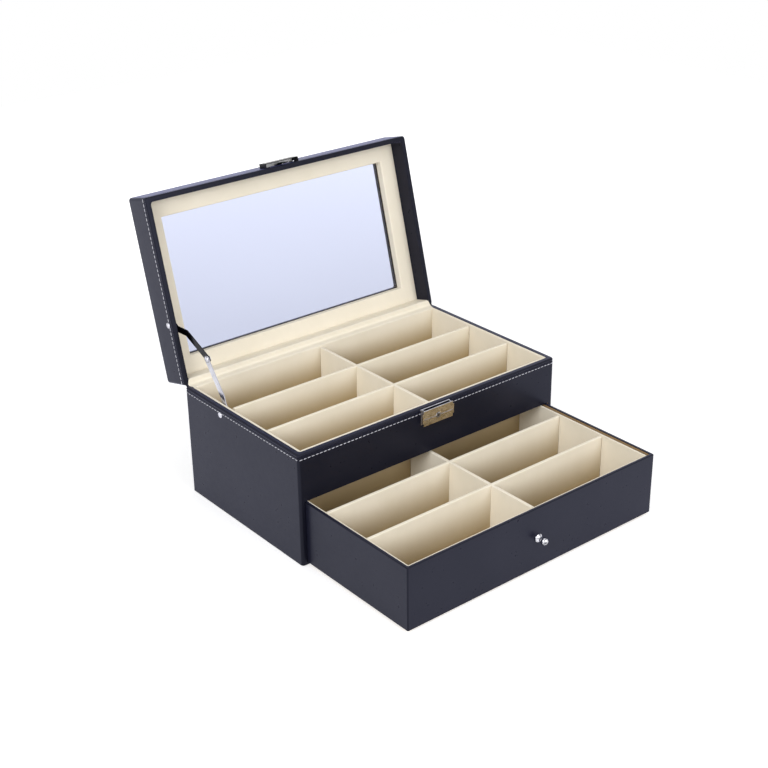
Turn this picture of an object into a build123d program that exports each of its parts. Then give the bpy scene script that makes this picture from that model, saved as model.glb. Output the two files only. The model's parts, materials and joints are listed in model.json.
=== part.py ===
import os
from math import acos, atan2, cos, hypot, radians, sin, tan

from build123d import *

os.makedirs("parts", exist_ok=True)

# A two-storey glasses box, in millimetres. The origin is the middle of the case's underside,
# X runs along the front, -Y faces the person who opens it and +Z is up.
# It stands as it was photographed: lid up on its stay, drawer pulled out.

# Case
case_width = 335.0
case_depth = 195.0
case_height = 121.0
board_thickness = 4.7
leather_thickness = 0.8
corner_radius = 3.0
rim_chamfer = 0.7
base_cloth_thickness = 0.4
base_cloth_inset = 1.5
base_board_thickness = 2.0
shelf_thickness = 3.0

# The pressed line that runs round both rims under the rolled edge
groove_below_rim = 2.6
groove_height = 0.5
groove_depth = 0.35

# Upper tray
tray_liner_thickness = 2.8
tray_floor_thickness = 1.8
divider_thickness = 3.6
divider_slot_play = 0.2
divider_end_play = 0.2
velvet_radius = 0.9
tray_divider_drop = 1.7
front_cell_share = 0.3125
middle_cell_share = 0.336

# Drawer
drawer_height = 66.0
drawer_side_play = 0.9
drawer_under_play = 0.3
drawer_over_play = 1.3
drawer_back_play = 1.5
drawer_travel = 149.0
drawer_board_thickness = 2.4
drawer_base_thickness = 2.4
drawer_corner_radius = 1.5
drawer_rim_chamfer = 0.5
drawer_liner_thickness = 2.0
drawer_liner_drop = 0.6
drawer_floor_thickness = 1.5
drawer_liner_side_gap = 3.5
drawer_divider_drop = 1.8

# Knob, turned with a round foot, a waist and a ball
knob_foot_radius = 4.5
knob_foot_height = 1.7
knob_waist_radius = 1.6
knob_ball_radius = 3.8
knob_ball_reach = 8.2
knob_ball_bands = 5
knob_screw_radius = 1.5
knob_screw_depth = 4.0
knob_screw_head_radius = 3.0
knob_screw_head_height = 1.4
screw_hole_play = 0.1

# Lid
lid_height = 35.5
rim_gap = 0.6
lid_open_angle = 104.4
lid_rail_thickness = 3.9
lid_board_thickness = 4.0
glass_thickness = 2.5
glass_overlap = 6.0
glass_play = 0.3
window_inset = 25.5
liner_frame_thickness = 8.2
liner_frame_inset = 24.8
liner_frame_radius = 3.5

# Cloth that covers the hinge inside, and the leather hinge outside
flap_thickness = 0.8
strip_thickness = 0.8
strip_width = 300.0
strip_reach = 23.0
strip_clear = 2.2

# Folding stay on the left
elbow_bend = 14.66
arm_width = 7.4
arm_thickness = 1.0
stay_setback = 63.8
stay_offset = 8.2
stay_play = 0.3
pivot_radius = 1.5
pivot_play = 0.06
rivet_head_radius = 3.1
rivet_head_height = 1.1
rivet_inner_radius = 2.6
rivet_inner_height = 0.9
rivet_edge = 0.8
lid_rivet_tail = 0.3
arm_gap = 0.3
lower_joggle = 1.6
joggle_start = 8.0
joggle_run = 9.0
stay_notch_play = 0.7

# Lock on the case and hasp on the lid
lock_width = 41.0
lock_height = 16.5
lock_below_rim = 0.9
lock_plate_thickness = 1.4
lock_depth = 6.0
lock_face_thickness = 0.9
lock_body_inset = 2.6
lock_wall_thickness = 0.8
lock_ear_width = 1.5
lock_ear_step = 3.1
lock_line_width = 0.45
lock_line_depth = 0.25
cylinder_radius = 3.0
cylinder_proud = 0.6
cylinder_play = 0.06
cylinder_height = 7.4
keyhole_width = 0.9
keyhole_length = 3.6
keyhole_depth = 2.0
cam_reach = 7.1
cam_width = 2.0
cam_thickness = 1.0
cam_pin_radius = 0.6
cam_play = 0.3
screw_radius = 1.0
screw_spacing = 29.0
screw_length = 4.5
screw_head_radius = 1.7
screw_head_height = 0.6
hasp_width = 42.0
hasp_height = 12.0
hasp_above_rim = 0.7
hasp_depth = 5.2
hasp_thickness = 0.8
hasp_foot_width = 5.0
tongue_width = 6.0
tongue_thickness = 0.9
tongue_stand_off = 2.0
tongue_lip = 0.9
tongue_foot_height = 6.0
hasp_rivet_radius = 1.1
hasp_rivet_head_radius = 1.65
hasp_rivet_head_height = 0.5
hasp_rivet_length = 3.2

# Levels and inner limits that follow from the sizes above
wall = board_thickness + leather_thickness
inside_x = case_width / 2 - wall
inside_y = case_depth / 2 - wall
board_x = case_width / 2 - leather_thickness
board_y = case_depth / 2 - leather_thickness
floor_top = base_cloth_thickness + base_board_thickness
board_top = case_height - leather_thickness
drawer_bottom = floor_top + drawer_under_play
drawer_top = drawer_bottom + drawer_height
opening_top = drawer_top + drawer_over_play
shelf_bottom = opening_top + leather_thickness
shelf_top = shelf_bottom + shelf_thickness
tray_x = inside_x - tray_liner_thickness
tray_y = inside_y - tray_liner_thickness
tray_floor_top = shelf_top + tray_floor_thickness
tray_divider_top = case_height - tray_divider_drop

drawer_x = inside_x - drawer_side_play
drawer_front = -case_depth / 2 - drawer_travel
drawer_back = inside_y - drawer_back_play - drawer_travel
drawer_length = drawer_back - drawer_front
drawer_middle = (drawer_front + drawer_back) / 2
drawer_wall = drawer_board_thickness + leather_thickness
drawer_floor = drawer_bottom + drawer_base_thickness
liner_left = -drawer_x + drawer_wall
liner_right = drawer_x - drawer_wall - drawer_liner_side_gap
liner_front = drawer_front + drawer_wall
liner_back = drawer_back - drawer_wall
drawer_liner_top = drawer_top - drawer_liner_drop

hinge_y = case_depth / 2
hinge_z = case_height + rim_gap / 2
opened = radians(lid_open_angle)
lid_plane = Plane(origin=(0, hinge_y, hinge_z), x_dir=(1, 0, 0), z_dir=(0, sin(opened), cos(opened)))
lid_side = Plane(origin=lid_plane.origin, x_dir=lid_plane.y_dir, z_dir=(1, 0, 0))
lid_rim = rim_gap / 2
lid_top = lid_rim + lid_height
lid_board_top = lid_top - leather_thickness
lid_board_bottom = lid_board_top - lid_board_thickness
glass_bottom = lid_board_bottom - glass_thickness
liner_frame_bottom = glass_bottom - liner_frame_thickness
lid_inside_x = case_width / 2 - lid_rail_thickness - 2 * leather_thickness
lid_inside_y = case_depth / 2 - lid_rail_thickness - 2 * leather_thickness
lid_middle = -case_depth / 2


def write_piece(piece, name):
    piece.part.label = name
    export_step(piece.part, f"parts/{name}.step")


# Underside cloth and base board

with BuildPart() as base_cloth:
    with BuildSketch():
        Rectangle(case_width - 2 * base_cloth_inset, case_depth - 2 * base_cloth_inset)
    extrude(amount=base_cloth_thickness)
write_piece(base_cloth, "base_cloth")

with BuildPart() as base_board:
    with BuildSketch(Plane.XY.offset(base_cloth_thickness)):
        RectangleRounded(2 * board_x, 2 * board_y, corner_radius - leather_thickness)
    extrude(amount=base_board_thickness)
write_piece(base_board, "base_board")

# Pivots of the stay: one on the case, one on the lid, and the elbow between them.
# Each point is (y, z). The elbow is where two equal arms meet, on the side towards the front.
case_pivot = (hinge_y - stay_setback, hinge_z - stay_offset)


def lid_point(along, up, turned):
    y = hinge_y + along * cos(turned) + up * sin(turned)
    z = hinge_z - along * sin(turned) + up * cos(turned)
    return (y, z)


def stay_reach(turned):
    pivot = lid_point(-stay_setback, stay_offset, turned)
    return hypot(pivot[0] - case_pivot[0], pivot[1] - case_pivot[1])


arm_length = stay_reach(opened) / 2 / cos(radians(elbow_bend))


def stay_angles(turned):
    pivot = lid_point(-stay_setback, stay_offset, turned)
    direction = atan2(pivot[1] - case_pivot[1], pivot[0] - case_pivot[0])
    spread = acos(stay_reach(turned) / 2 / arm_length)
    return pivot, direction + spread, direction - spread


lid_pivot, lower_angle, upper_angle = stay_angles(opened)
elbow = (case_pivot[0] + arm_length * cos(lower_angle), case_pivot[1] + arm_length * sin(lower_angle))
closed_pivot, lower_closed, upper_closed = stay_angles(0)
lower_ratio = (lower_closed - lower_angle) / opened
upper_ratio = (upper_closed - upper_angle) / opened - lower_ratio
print("elbow", round(elbow[0], 3), round(elbow[1], 3))
print("lid pivot", round(lid_pivot[0], 3), round(lid_pivot[1], 3))
print("lower arm turns", round(lower_ratio, 5), "per lid turn, upper arm on it", round(upper_ratio, 5))

# Side, back and front boards. The side boards take the rounded corners.

for side, name in ((-1, "left_side_board"), (1, "right_side_board")):
    with BuildPart() as side_board:
        with BuildSketch(Plane.XY.offset(floor_top)):
            with Locations((side * (board_x - board_thickness / 2), 0)):
                Rectangle(board_thickness, 2 * board_y)
        extrude(amount=board_top - floor_top)
        outer_corners = side_board.edges().filter_by(Axis.Z).sort_by(Axis.X)
        outer_corners = outer_corners[:2] if side < 0 else outer_corners[-2:]
        fillet(outer_corners, corner_radius - leather_thickness)
        if side < 0:
            with BuildSketch(Plane.YZ.offset(-board_x)):
                with Locations(case_pivot):
                    Circle(pivot_radius + screw_hole_play)
            extrude(amount=board_thickness, mode=Mode.SUBTRACT)
    write_piece(side_board, name)

with BuildPart() as back_board:
    with BuildSketch(Plane.XY.offset(floor_top)):
        with Locations((0, board_y - board_thickness / 2)):
            Rectangle(2 * inside_x, board_thickness)
    extrude(amount=board_top - floor_top)
write_piece(back_board, "back_board")

lock_top = case_height - lock_below_rim
lock_middle = lock_top - lock_height / 2
front_face = Plane(origin=(0, -case_depth / 2, lock_middle), x_dir=(1, 0, 0), z_dir=(0, -1, 0))

with BuildPart() as front_board:
    with BuildSketch(Plane.XY.offset(shelf_bottom)):
        with Locations((0, -board_y + board_thickness / 2)):
            Rectangle(2 * inside_x, board_thickness)
    extrude(amount=board_top - shelf_bottom)
    with BuildSketch(front_face.offset(-leather_thickness)):
        with GridLocations(screw_spacing, 0, 2, 1):
            Circle(screw_radius)
    extrude(amount=-board_thickness, mode=Mode.SUBTRACT)
write_piece(front_board, "front_board")

with BuildPart() as drawer_shelf:
    with BuildSketch(Plane.XY.offset(shelf_bottom)):
        Rectangle(2 * inside_x, 2 * inside_y)
    extrude(amount=shelf_thickness)
write_piece(drawer_shelf, "drawer_shelf")

# Leather wrap of the case: one skin on the four sides, turned over the rim,
# open in front for the drawer and folded under the front board

with BuildPart() as case_leather:
    with BuildSketch(Plane.XY.offset(base_cloth_thickness)):
        RectangleRounded(case_width, case_depth, corner_radius)
    extrude(amount=case_height - base_cloth_thickness)
    chamfer(case_leather.edges().group_by(Axis.Z)[-1], rim_chamfer)
    with BuildSketch(Plane.XY.offset(base_cloth_thickness)):
        RectangleRounded(2 * board_x, 2 * board_y, corner_radius - leather_thickness)
    extrude(amount=board_top - base_cloth_thickness, mode=Mode.SUBTRACT)
    with BuildSketch(Plane.XY.offset(board_top)):
        Rectangle(2 * inside_x, 2 * inside_y)
    extrude(amount=leather_thickness, mode=Mode.SUBTRACT)
    with BuildSketch(Plane.XY.offset(case_height - groove_below_rim - groove_height)):
        RectangleRounded(case_width + 2, case_depth + 2, corner_radius + 1)
        RectangleRounded(case_width - 2 * groove_depth, case_depth - 2 * groove_depth,
                         corner_radius - groove_depth, mode=Mode.SUBTRACT)
    extrude(amount=groove_height, mode=Mode.SUBTRACT)
    with BuildSketch(Plane.XY.offset(floor_top)):
        with Locations((0, -case_depth / 2)):
            Rectangle(2 * inside_x, 2 * leather_thickness)
    extrude(amount=opening_top - floor_top, mode=Mode.SUBTRACT)
    with BuildSketch(Plane.XY.offset(opening_top)):
        with Locations((0, -case_depth / 2 + wall / 2)):
            Rectangle(2 * inside_x, wall)
    extrude(amount=leather_thickness)
    with BuildSketch(Plane.XY.offset(board_top)):
        with Locations((0, board_y - board_thickness / 2)):
            Rectangle(2 * tray_x, board_thickness)
    extrude(amount=leather_thickness, mode=Mode.SUBTRACT)
    with BuildSketch(Plane.YZ.offset(-case_width / 2)):
        with Locations(case_pivot):
            Circle(pivot_radius + screw_hole_play)
    extrude(amount=leather_thickness, mode=Mode.SUBTRACT)
    with BuildSketch(front_face):
        with GridLocations(screw_spacing, 0, 2, 1):
            Circle(screw_radius)
    extrude(amount=-leather_thickness, mode=Mode.SUBTRACT)
write_piece(case_leather, "case_leather")

# Velvet-covered panels of the upper tray. The back panel stops under the hinge flap.

with BuildPart() as tray_floor:
    with BuildSketch(Plane.XY.offset(shelf_top)):
        Rectangle(2 * tray_x, 2 * tray_y)
    extrude(amount=tray_floor_thickness)
write_piece(tray_floor, "tray_floor")

for side, name in ((-1, "tray_liner_left"), (1, "tray_liner_right")):
    with BuildPart() as tray_liner:
        with BuildSketch(Plane.XY.offset(shelf_top)):
            with Locations((side * (inside_x - tray_liner_thickness / 2), 0)):
                Rectangle(tray_liner_thickness, 2 * inside_y)
        extrude(amount=case_height - shelf_top)
        fillet(tray_liner.edges().group_by(Axis.Z)[-1].filter_by(Axis.Y), velvet_radius)
        if side < 0:
            with BuildSketch(Plane.YZ.offset(-inside_x)):
                with Locations(case_pivot):
                    Circle(pivot_radius + screw_hole_play)
            extrude(amount=tray_liner_thickness, mode=Mode.SUBTRACT)
    write_piece(tray_liner, name)

for side, name, top in ((-1, "tray_liner_front", case_height), (1, "tray_liner_back", board_top)):
    with BuildPart() as tray_liner:
        with BuildSketch(Plane.XY.offset(shelf_top)):
            with Locations((0, side * (inside_y - tray_liner_thickness / 2))):
                Rectangle(2 * tray_x, tray_liner_thickness)
        extrude(amount=top - shelf_top)
        if side < 0:
            fillet(tray_liner.edges().group_by(Axis.Z)[-1].filter_by(Axis.X), velvet_radius)
    write_piece(tray_liner, name)

# Dividers stand on edge and cross with half-height slots

tray_cells_length = 2 * tray_y - 2 * divider_thickness
front_divider_y = -tray_y + front_cell_share * tray_cells_length + divider_thickness / 2
rear_divider_y = front_divider_y + middle_cell_share * tray_cells_length + divider_thickness
slot_width = divider_thickness + divider_slot_play
tray_half_level = (tray_floor_top + tray_divider_top) / 2

with BuildPart() as tray_centre_divider:
    with BuildSketch(Plane.XY.offset(tray_floor_top)):
        Rectangle(divider_thickness, 2 * (tray_y - divider_end_play))
    extrude(amount=tray_divider_top - tray_floor_top)
    fillet(tray_centre_divider.edges().group_by(Axis.Z)[-1].filter_by(Axis.Y), velvet_radius)
    with BuildSketch(Plane.XY.offset(tray_half_level)):
        with Locations((0, front_divider_y), (0, rear_divider_y)):
            Rectangle(divider_thickness, slot_width)
    extrude(amount=tray_divider_top - tray_half_level, mode=Mode.SUBTRACT)
write_piece(tray_centre_divider, "tray_centre_divider")

arm_inner = -tray_x + stay_play + arm_thickness + lower_joggle
notch_depth = tray_divider_top - (case_pivot[1] - arm_width / 2 - stay_notch_play)

for name, at_y, notched in (("tray_front_divider", front_divider_y, False),
                            ("tray_rear_divider", rear_divider_y, True)):
    with BuildPart() as tray_divider:
        with BuildSketch(Plane.XY.offset(tray_floor_top)):
            with Locations((0, at_y)):
                Rectangle(2 * (tray_x - divider_end_play), divider_thickness)
        extrude(amount=tray_divider_top - tray_floor_top)
        fillet(tray_divider.edges().group_by(Axis.Z)[-1].filter_by(Axis.X), velvet_radius)
        with BuildSketch(Plane.XY.offset(tray_floor_top)):
            with Locations((0, at_y)):
                Rectangle(slot_width, divider_thickness)
        extrude(amount=tray_half_level - tray_floor_top, mode=Mode.SUBTRACT)
        if notched:
            with BuildSketch(Plane.XY.offset(tray_divider_top)):
                with Locations((-tray_x, at_y)):
                    Rectangle(arm_inner + tray_x + stay_notch_play, divider_thickness,
                              align=(Align.MIN, Align.CENTER))
            extrude(amount=-notch_depth, mode=Mode.SUBTRACT)
    write_piece(tray_divider, name)

# Drawer: base board, four boards, leather skin turned over the rim

with BuildPart() as drawer_base_board:
    with BuildSketch(Plane.XY.offset(drawer_bottom)):
        with Locations((0, drawer_middle)):
            RectangleRounded(2 * (drawer_x - leather_thickness), drawer_length - 2 * leather_thickness,
                             drawer_corner_radius - leather_thickness)
    extrude(amount=drawer_base_thickness)
write_piece(drawer_base_board, "drawer_base_board")

drawer_board_top = drawer_top - leather_thickness
drawer_board_height = drawer_board_top - drawer_floor
knob_height = (drawer_bottom + drawer_top) / 2
knob_hole_radius = knob_screw_radius + screw_hole_play
drawer_face = Plane(origin=(0, drawer_front, knob_height), x_dir=(1, 0, 0), z_dir=(0, -1, 0))

for side, name in ((-1, "drawer_left_board"), (1, "drawer_right_board")):
    with BuildPart() as drawer_board:
        with BuildSketch(Plane.XY.offset(drawer_floor)):
            with Locations((side * (drawer_x - leather_thickness - drawer_board_thickness / 2),
                            drawer_middle)):
                Rectangle(drawer_board_thickness, drawer_length - 2 * leather_thickness)
        extrude(amount=drawer_board_height)
        outer_corners = drawer_board.edges().filter_by(Axis.Z).sort_by(Axis.X)
        outer_corners = outer_corners[:2] if side < 0 else outer_corners[-2:]
        fillet(outer_corners, drawer_corner_radius - leather_thickness)
    write_piece(drawer_board, name)

for at_y, name in ((drawer_front + leather_thickness + drawer_board_thickness / 2, "drawer_front_board"),
                   (drawer_back - leather_thickness - drawer_board_thickness / 2, "drawer_back_board")):
    with BuildPart() as drawer_board:
        with BuildSketch(Plane.XY.offset(drawer_floor)):
            with Locations((0, at_y)):
                Rectangle(2 * (drawer_x - drawer_wall), drawer_board_thickness)
        extrude(amount=drawer_board_height)
        if at_y < drawer_middle:
            with BuildSketch(drawer_face.offset(-leather_thickness)):
                Circle(knob_hole_radius)
            extrude(amount=-drawer_board_thickness, mode=Mode.SUBTRACT)
    write_piece(drawer_board, name)

with BuildPart() as drawer_leather:
    with BuildSketch(Plane.XY.offset(drawer_bottom)):
        with Locations((0, drawer_middle)):
            RectangleRounded(2 * drawer_x, drawer_length, drawer_corner_radius)
    extrude(amount=drawer_height)
    chamfer(drawer_leather.edges().group_by(Axis.Z)[-1], drawer_rim_chamfer)
    with BuildSketch(Plane.XY.offset(drawer_bottom)):
        with Locations((0, drawer_middle)):
            RectangleRounded(2 * (drawer_x - leather_thickness), drawer_length - 2 * leather_thickness,
                             drawer_corner_radius - leather_thickness)
    extrude(amount=drawer_board_top - drawer_bottom, mode=Mode.SUBTRACT)
    with BuildSketch(Plane.XY.offset(drawer_board_top)):
        with Locations((0, drawer_middle)):
            Rectangle(2 * (drawer_x - drawer_wall), drawer_length - 2 * drawer_wall)
    extrude(amount=leather_thickness, mode=Mode.SUBTRACT)
    with BuildSketch(drawer_face):
        Circle(knob_hole_radius)
    extrude(amount=-leather_thickness, mode=Mode.SUBTRACT)
write_piece(drawer_leather, "drawer_leather")

# Velvet tray inside the drawer. It sits against the left wall and leaves a gap on the right.

liner_x = (liner_left + liner_right) / 2
liner_width = liner_right - liner_left
liner_length = liner_back - liner_front
inner_width = liner_width - 2 * drawer_liner_thickness
inner_length = liner_length - 2 * drawer_liner_thickness
inner_middle = (liner_front + liner_back) / 2
drawer_floor_top = drawer_floor + drawer_floor_thickness

with BuildPart() as drawer_liner_floor:
    with BuildSketch(Plane.XY.offset(drawer_floor)):
        with Locations((liner_x, inner_middle)):
            Rectangle(inner_width, inner_length)
    extrude(amount=drawer_floor_thickness)
write_piece(drawer_liner_floor, "drawer_liner_floor")

for at_x, name in ((liner_left + drawer_liner_thickness / 2, "drawer_liner_left"),
                   (liner_right - drawer_liner_thickness / 2, "drawer_liner_right")):
    with BuildPart() as drawer_liner:
        with BuildSketch(Plane.XY.offset(drawer_floor)):
            with Locations((at_x, inner_middle)):
                Rectangle(drawer_liner_thickness, inner_length)
        extrude(amount=drawer_liner_top - drawer_floor)
        fillet(drawer_liner.edges().group_by(Axis.Z)[-1].filter_by(Axis.Y), velvet_radius)
    write_piece(drawer_liner, name)

for at_y, name in ((liner_front + drawer_liner_thickness / 2, "drawer_liner_front"),
                   (liner_back - drawer_liner_thickness / 2, "drawer_liner_back")):
    with BuildPart() as drawer_liner:
        with BuildSketch(Plane.XY.offset(drawer_floor)):
            with Locations((liner_x, at_y)):
                Rectangle(liner_width, drawer_liner_thickness)
        extrude(amount=drawer_liner_top - drawer_floor)
        fillet(drawer_liner.edges().group_by(Axis.Z)[-1].filter_by(Axis.X), velvet_radius)
        if at_y < drawer_middle:
            with BuildSketch(drawer_face.offset(-drawer_wall)):
                Circle(knob_screw_head_radius + screw_hole_play)
            extrude(amount=-knob_screw_head_height - screw_hole_play, mode=Mode.SUBTRACT)
    write_piece(drawer_liner, name)

drawer_divider_top = drawer_top - drawer_divider_drop
drawer_cell_length = (inner_length - 2 * divider_thickness) / 3
drawer_divider_pitch = drawer_cell_length + divider_thickness
drawer_half_level = (drawer_floor_top + drawer_divider_top) / 2

with BuildPart() as drawer_centre_divider:
    with BuildSketch(Plane.XY.offset(drawer_floor_top)):
        with Locations((liner_x, inner_middle)):
            Rectangle(divider_thickness, inner_length - 2 * divider_end_play)
    extrude(amount=drawer_divider_top - drawer_floor_top)
    fillet(drawer_centre_divider.edges().group_by(Axis.Z)[-1].filter_by(Axis.Y), velvet_radius)
    with BuildSketch(Plane.XY.offset(drawer_half_level)):
        with Locations((liner_x, inner_middle)):
            with GridLocations(0, drawer_divider_pitch, 1, 2):
                Rectangle(divider_thickness, slot_width)
    extrude(amount=drawer_divider_top - drawer_half_level, mode=Mode.SUBTRACT)
write_piece(drawer_centre_divider, "drawer_centre_divider")

for side, name in ((-1, "drawer_front_divider"), (1, "drawer_rear_divider")):
    divider_y = inner_middle + side * drawer_divider_pitch / 2
    with BuildPart() as drawer_divider:
        with BuildSketch(Plane.XY.offset(drawer_floor_top)):
            with Locations((liner_x, divider_y)):
                Rectangle(inner_width - 2 * divider_end_play, divider_thickness)
        extrude(amount=drawer_divider_top - drawer_floor_top)
        fillet(drawer_divider.edges().group_by(Axis.Z)[-1].filter_by(Axis.X), velvet_radius)
        with BuildSketch(Plane.XY.offset(drawer_floor_top)):
            with Locations((liner_x, divider_y)):
                Rectangle(slot_width, divider_thickness)
        extrude(amount=drawer_half_level - drawer_floor_top, mode=Mode.SUBTRACT)
    write_piece(drawer_divider, name)

# Knob, revolved about its own axis, and the screw that holds it from inside

knob_plane = Plane(origin=drawer_face.origin, x_dir=(1, 0, 0), z_dir=(0, 0, -1))
foot_shoulder = knob_foot_height / 2
waist_angle = acos(knob_waist_radius / knob_ball_radius)
ball_angles = [(knob_ball_bands - i) / knob_ball_bands * -waist_angle + i / knob_ball_bands * radians(90)
               for i in range(knob_ball_bands + 1)]
ball_points = [(knob_ball_radius * cos(a), knob_ball_reach + knob_ball_radius * sin(a)) for a in ball_angles]

with BuildPart() as knob:
    with BuildSketch(knob_plane):
        with BuildLine():
            Polyline((0, 0), (knob_foot_radius, 0), (knob_foot_radius, foot_shoulder),
                     (knob_foot_radius - foot_shoulder, knob_foot_height),
                     (knob_waist_radius, knob_foot_height), *ball_points, close=True)
        make_face()
    revolve(axis=Axis(origin=drawer_face.origin, direction=(0, -1, 0)))
    with BuildSketch(drawer_face):
        Circle(knob_screw_radius)
    extrude(amount=knob_screw_depth, mode=Mode.SUBTRACT)
write_piece(knob, "knob")

with BuildPart() as knob_screw:
    with BuildSketch(drawer_face.offset(-drawer_wall)):
        Circle(knob_screw_radius)
    extrude(amount=drawer_wall + knob_screw_depth)
    with BuildSketch(drawer_face.offset(-drawer_wall - knob_screw_head_height)):
        Circle(knob_screw_head_radius)
    extrude(amount=knob_screw_head_height)
    with BuildSketch(drawer_face.offset(-drawer_wall - knob_screw_head_height)):
        Rectangle(2 * knob_screw_head_radius, keyhole_width)
        Rectangle(keyhole_width, 2 * knob_screw_head_radius)
    extrude(amount=knob_screw_head_height / 2, mode=Mode.SUBTRACT)
write_piece(knob_screw, "knob_screw")

# Lid rails, made on the lid's own plane: its origin is the hinge line, y runs to the back
# of the closed lid and z away from the case

rail_y = case_depth / 2 - leather_thickness
rail_bottom = lid_rim + leather_thickness

# The hasp sits on the front rail: its rivets go through the leather into the wood.
# Each rivet is (x, height on the rail, thickness of the plate that it holds).
hasp_plane = Plane(origin=lid_plane.origin - lid_plane.y_dir * case_depth, x_dir=(1, 0, 0),
                   z_dir=-lid_plane.y_dir)
hasp_bottom = lid_rim + hasp_above_rim
tongue_root = hasp_bottom + hasp_height - tongue_foot_height
hasp_rivet_x = (hasp_width - hasp_foot_width - hasp_thickness) / 2
hasp_rivet_places = ((-hasp_rivet_x, hasp_bottom + hasp_height / 2, hasp_thickness),
                     (hasp_rivet_x, hasp_bottom + hasp_height / 2, hasp_thickness),
                     (0, tongue_root + tongue_foot_height / 2, tongue_thickness))


with BuildPart() as hasp_rivet_holes:
    for along, up, seat in hasp_rivet_places:
        with BuildSketch(hasp_plane.offset(hasp_thickness - hasp_rivet_length)):
            with Locations((along, up)):
                Circle(hasp_rivet_radius)
        extrude(amount=hasp_rivet_length - hasp_thickness + tongue_thickness)

for side, name in ((-1, "lid_left_rail"), (1, "lid_right_rail")):
    with BuildPart() as rail:
        with BuildSketch(lid_plane.offset(rail_bottom)) as rail_plan:
            with Locations((side * (board_x - lid_rail_thickness / 2), lid_middle)):
                Rectangle(lid_rail_thickness, 2 * rail_y)
            outer_points = rail_plan.vertices().sort_by(Axis.X)
            outer_points = outer_points[:2] if side < 0 else outer_points[-2:]
            fillet(outer_points, corner_radius - leather_thickness)
        extrude(amount=lid_board_bottom - rail_bottom)
        if side < 0:
            with BuildSketch(lid_side.offset(-board_x)):
                with Locations((-stay_setback, stay_offset)):
                    Circle(pivot_radius + screw_hole_play)
            extrude(amount=lid_rail_thickness, mode=Mode.SUBTRACT)
    write_piece(rail, name)

for side, name in ((-1, "lid_front_rail"), (1, "lid_back_rail")):
    with BuildPart() as rail:
        with BuildSketch(lid_plane.offset(rail_bottom)):
            with Locations((0, lid_middle + side * (rail_y - lid_rail_thickness / 2))):
                Rectangle(2 * (board_x - lid_rail_thickness), lid_rail_thickness)
        extrude(amount=lid_board_bottom - rail_bottom)
        if side < 0:
            add(hasp_rivet_holes.part, mode=Mode.SUBTRACT)
    write_piece(rail, name)

with BuildPart() as lid_top_frame:
    with BuildSketch(lid_plane.offset(lid_board_bottom)):
        with Locations((0, lid_middle)):
            RectangleRounded(2 * board_x, 2 * board_y, corner_radius - leather_thickness)
            Rectangle(case_width - 2 * window_inset + 2 * leather_thickness,
                      case_depth - 2 * window_inset + 2 * leather_thickness, mode=Mode.SUBTRACT)
    extrude(amount=lid_board_thickness)
write_piece(lid_top_frame, "lid_top_frame")

# Leather wrap of the lid: over the top frame, into the window, down the sides,
# over the rim and up the inner faces. The back rim is left for the hinge flap.

window_width = case_width - 2 * window_inset
window_depth = case_depth - 2 * window_inset

with BuildPart() as lid_leather:
    with BuildSketch(lid_plane.offset(lid_rim)):
        with Locations((0, lid_middle)):
            RectangleRounded(case_width, case_depth, corner_radius)
    extrude(amount=lid_height)
    rim_edges = lid_leather.faces().sort_by(lid_plane.location.z_axis)[0].edges()
    top_edges = lid_leather.faces().sort_by(lid_plane.location.z_axis)[-1].edges()
    chamfer(rim_edges + top_edges, rim_chamfer)
    with BuildSketch(lid_plane.offset(lid_rim)):
        with Locations((0, lid_middle)):
            Rectangle(2 * lid_inside_x, 2 * lid_inside_y)
    extrude(amount=lid_board_bottom - lid_rim, mode=Mode.SUBTRACT)
    with BuildSketch(lid_plane.offset(rail_bottom)):
        with Locations((0, lid_middle)):
            RectangleRounded(2 * board_x, 2 * board_y, corner_radius - leather_thickness)
            Rectangle(2 * (board_x - lid_rail_thickness), 2 * (board_y - lid_rail_thickness),
                      mode=Mode.SUBTRACT)
    extrude(amount=lid_board_bottom - rail_bottom, mode=Mode.SUBTRACT)
    with BuildSketch(lid_plane.offset(lid_board_bottom)):
        with Locations((0, lid_middle)):
            RectangleRounded(2 * board_x, 2 * board_y, corner_radius - leather_thickness)
            Rectangle(window_width + 2 * leather_thickness, window_depth + 2 * leather_thickness,
                      mode=Mode.SUBTRACT)
    extrude(amount=lid_board_thickness, mode=Mode.SUBTRACT)
    with BuildSketch(lid_plane.offset(lid_board_bottom)):
        with Locations((0, lid_middle)):
            Rectangle(window_width, window_depth)
    extrude(amount=lid_top - lid_board_bottom, mode=Mode.SUBTRACT)
    with BuildSketch(lid_plane.offset(lid_rim + groove_below_rim)):
        with Locations((0, lid_middle)):
            RectangleRounded(case_width + 2, case_depth + 2, corner_radius + 1)
            RectangleRounded(case_width - 2 * groove_depth, case_depth - 2 * groove_depth,
                             corner_radius - groove_depth, mode=Mode.SUBTRACT)
    extrude(amount=groove_height, mode=Mode.SUBTRACT)
    with BuildSketch(lid_plane.offset(lid_rim)):
        with Locations((0, -leather_thickness - (wall - leather_thickness) / 2)):
            Rectangle(2 * lid_inside_x, wall - leather_thickness)
    extrude(amount=leather_thickness, mode=Mode.SUBTRACT)
    with BuildSketch(lid_side.offset(-case_width / 2)):
        with Locations((-stay_setback, stay_offset)):
            Circle(pivot_radius + screw_hole_play)
    extrude(amount=wall, mode=Mode.SUBTRACT)
    add(hasp_rivet_holes.part, mode=Mode.SUBTRACT)
write_piece(lid_leather, "lid_leather")

# Window: glass under the top frame, a spacer round its edge and the padded velvet frame

glass_width = window_width + 2 * glass_overlap
glass_depth = window_depth + 2 * glass_overlap

with BuildPart() as window_glass:
    with BuildSketch(lid_plane.offset(glass_bottom)):
        with Locations((0, lid_middle)):
            Rectangle(glass_width, glass_depth)
    extrude(amount=glass_thickness)
write_piece(window_glass, "window_glass")

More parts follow.
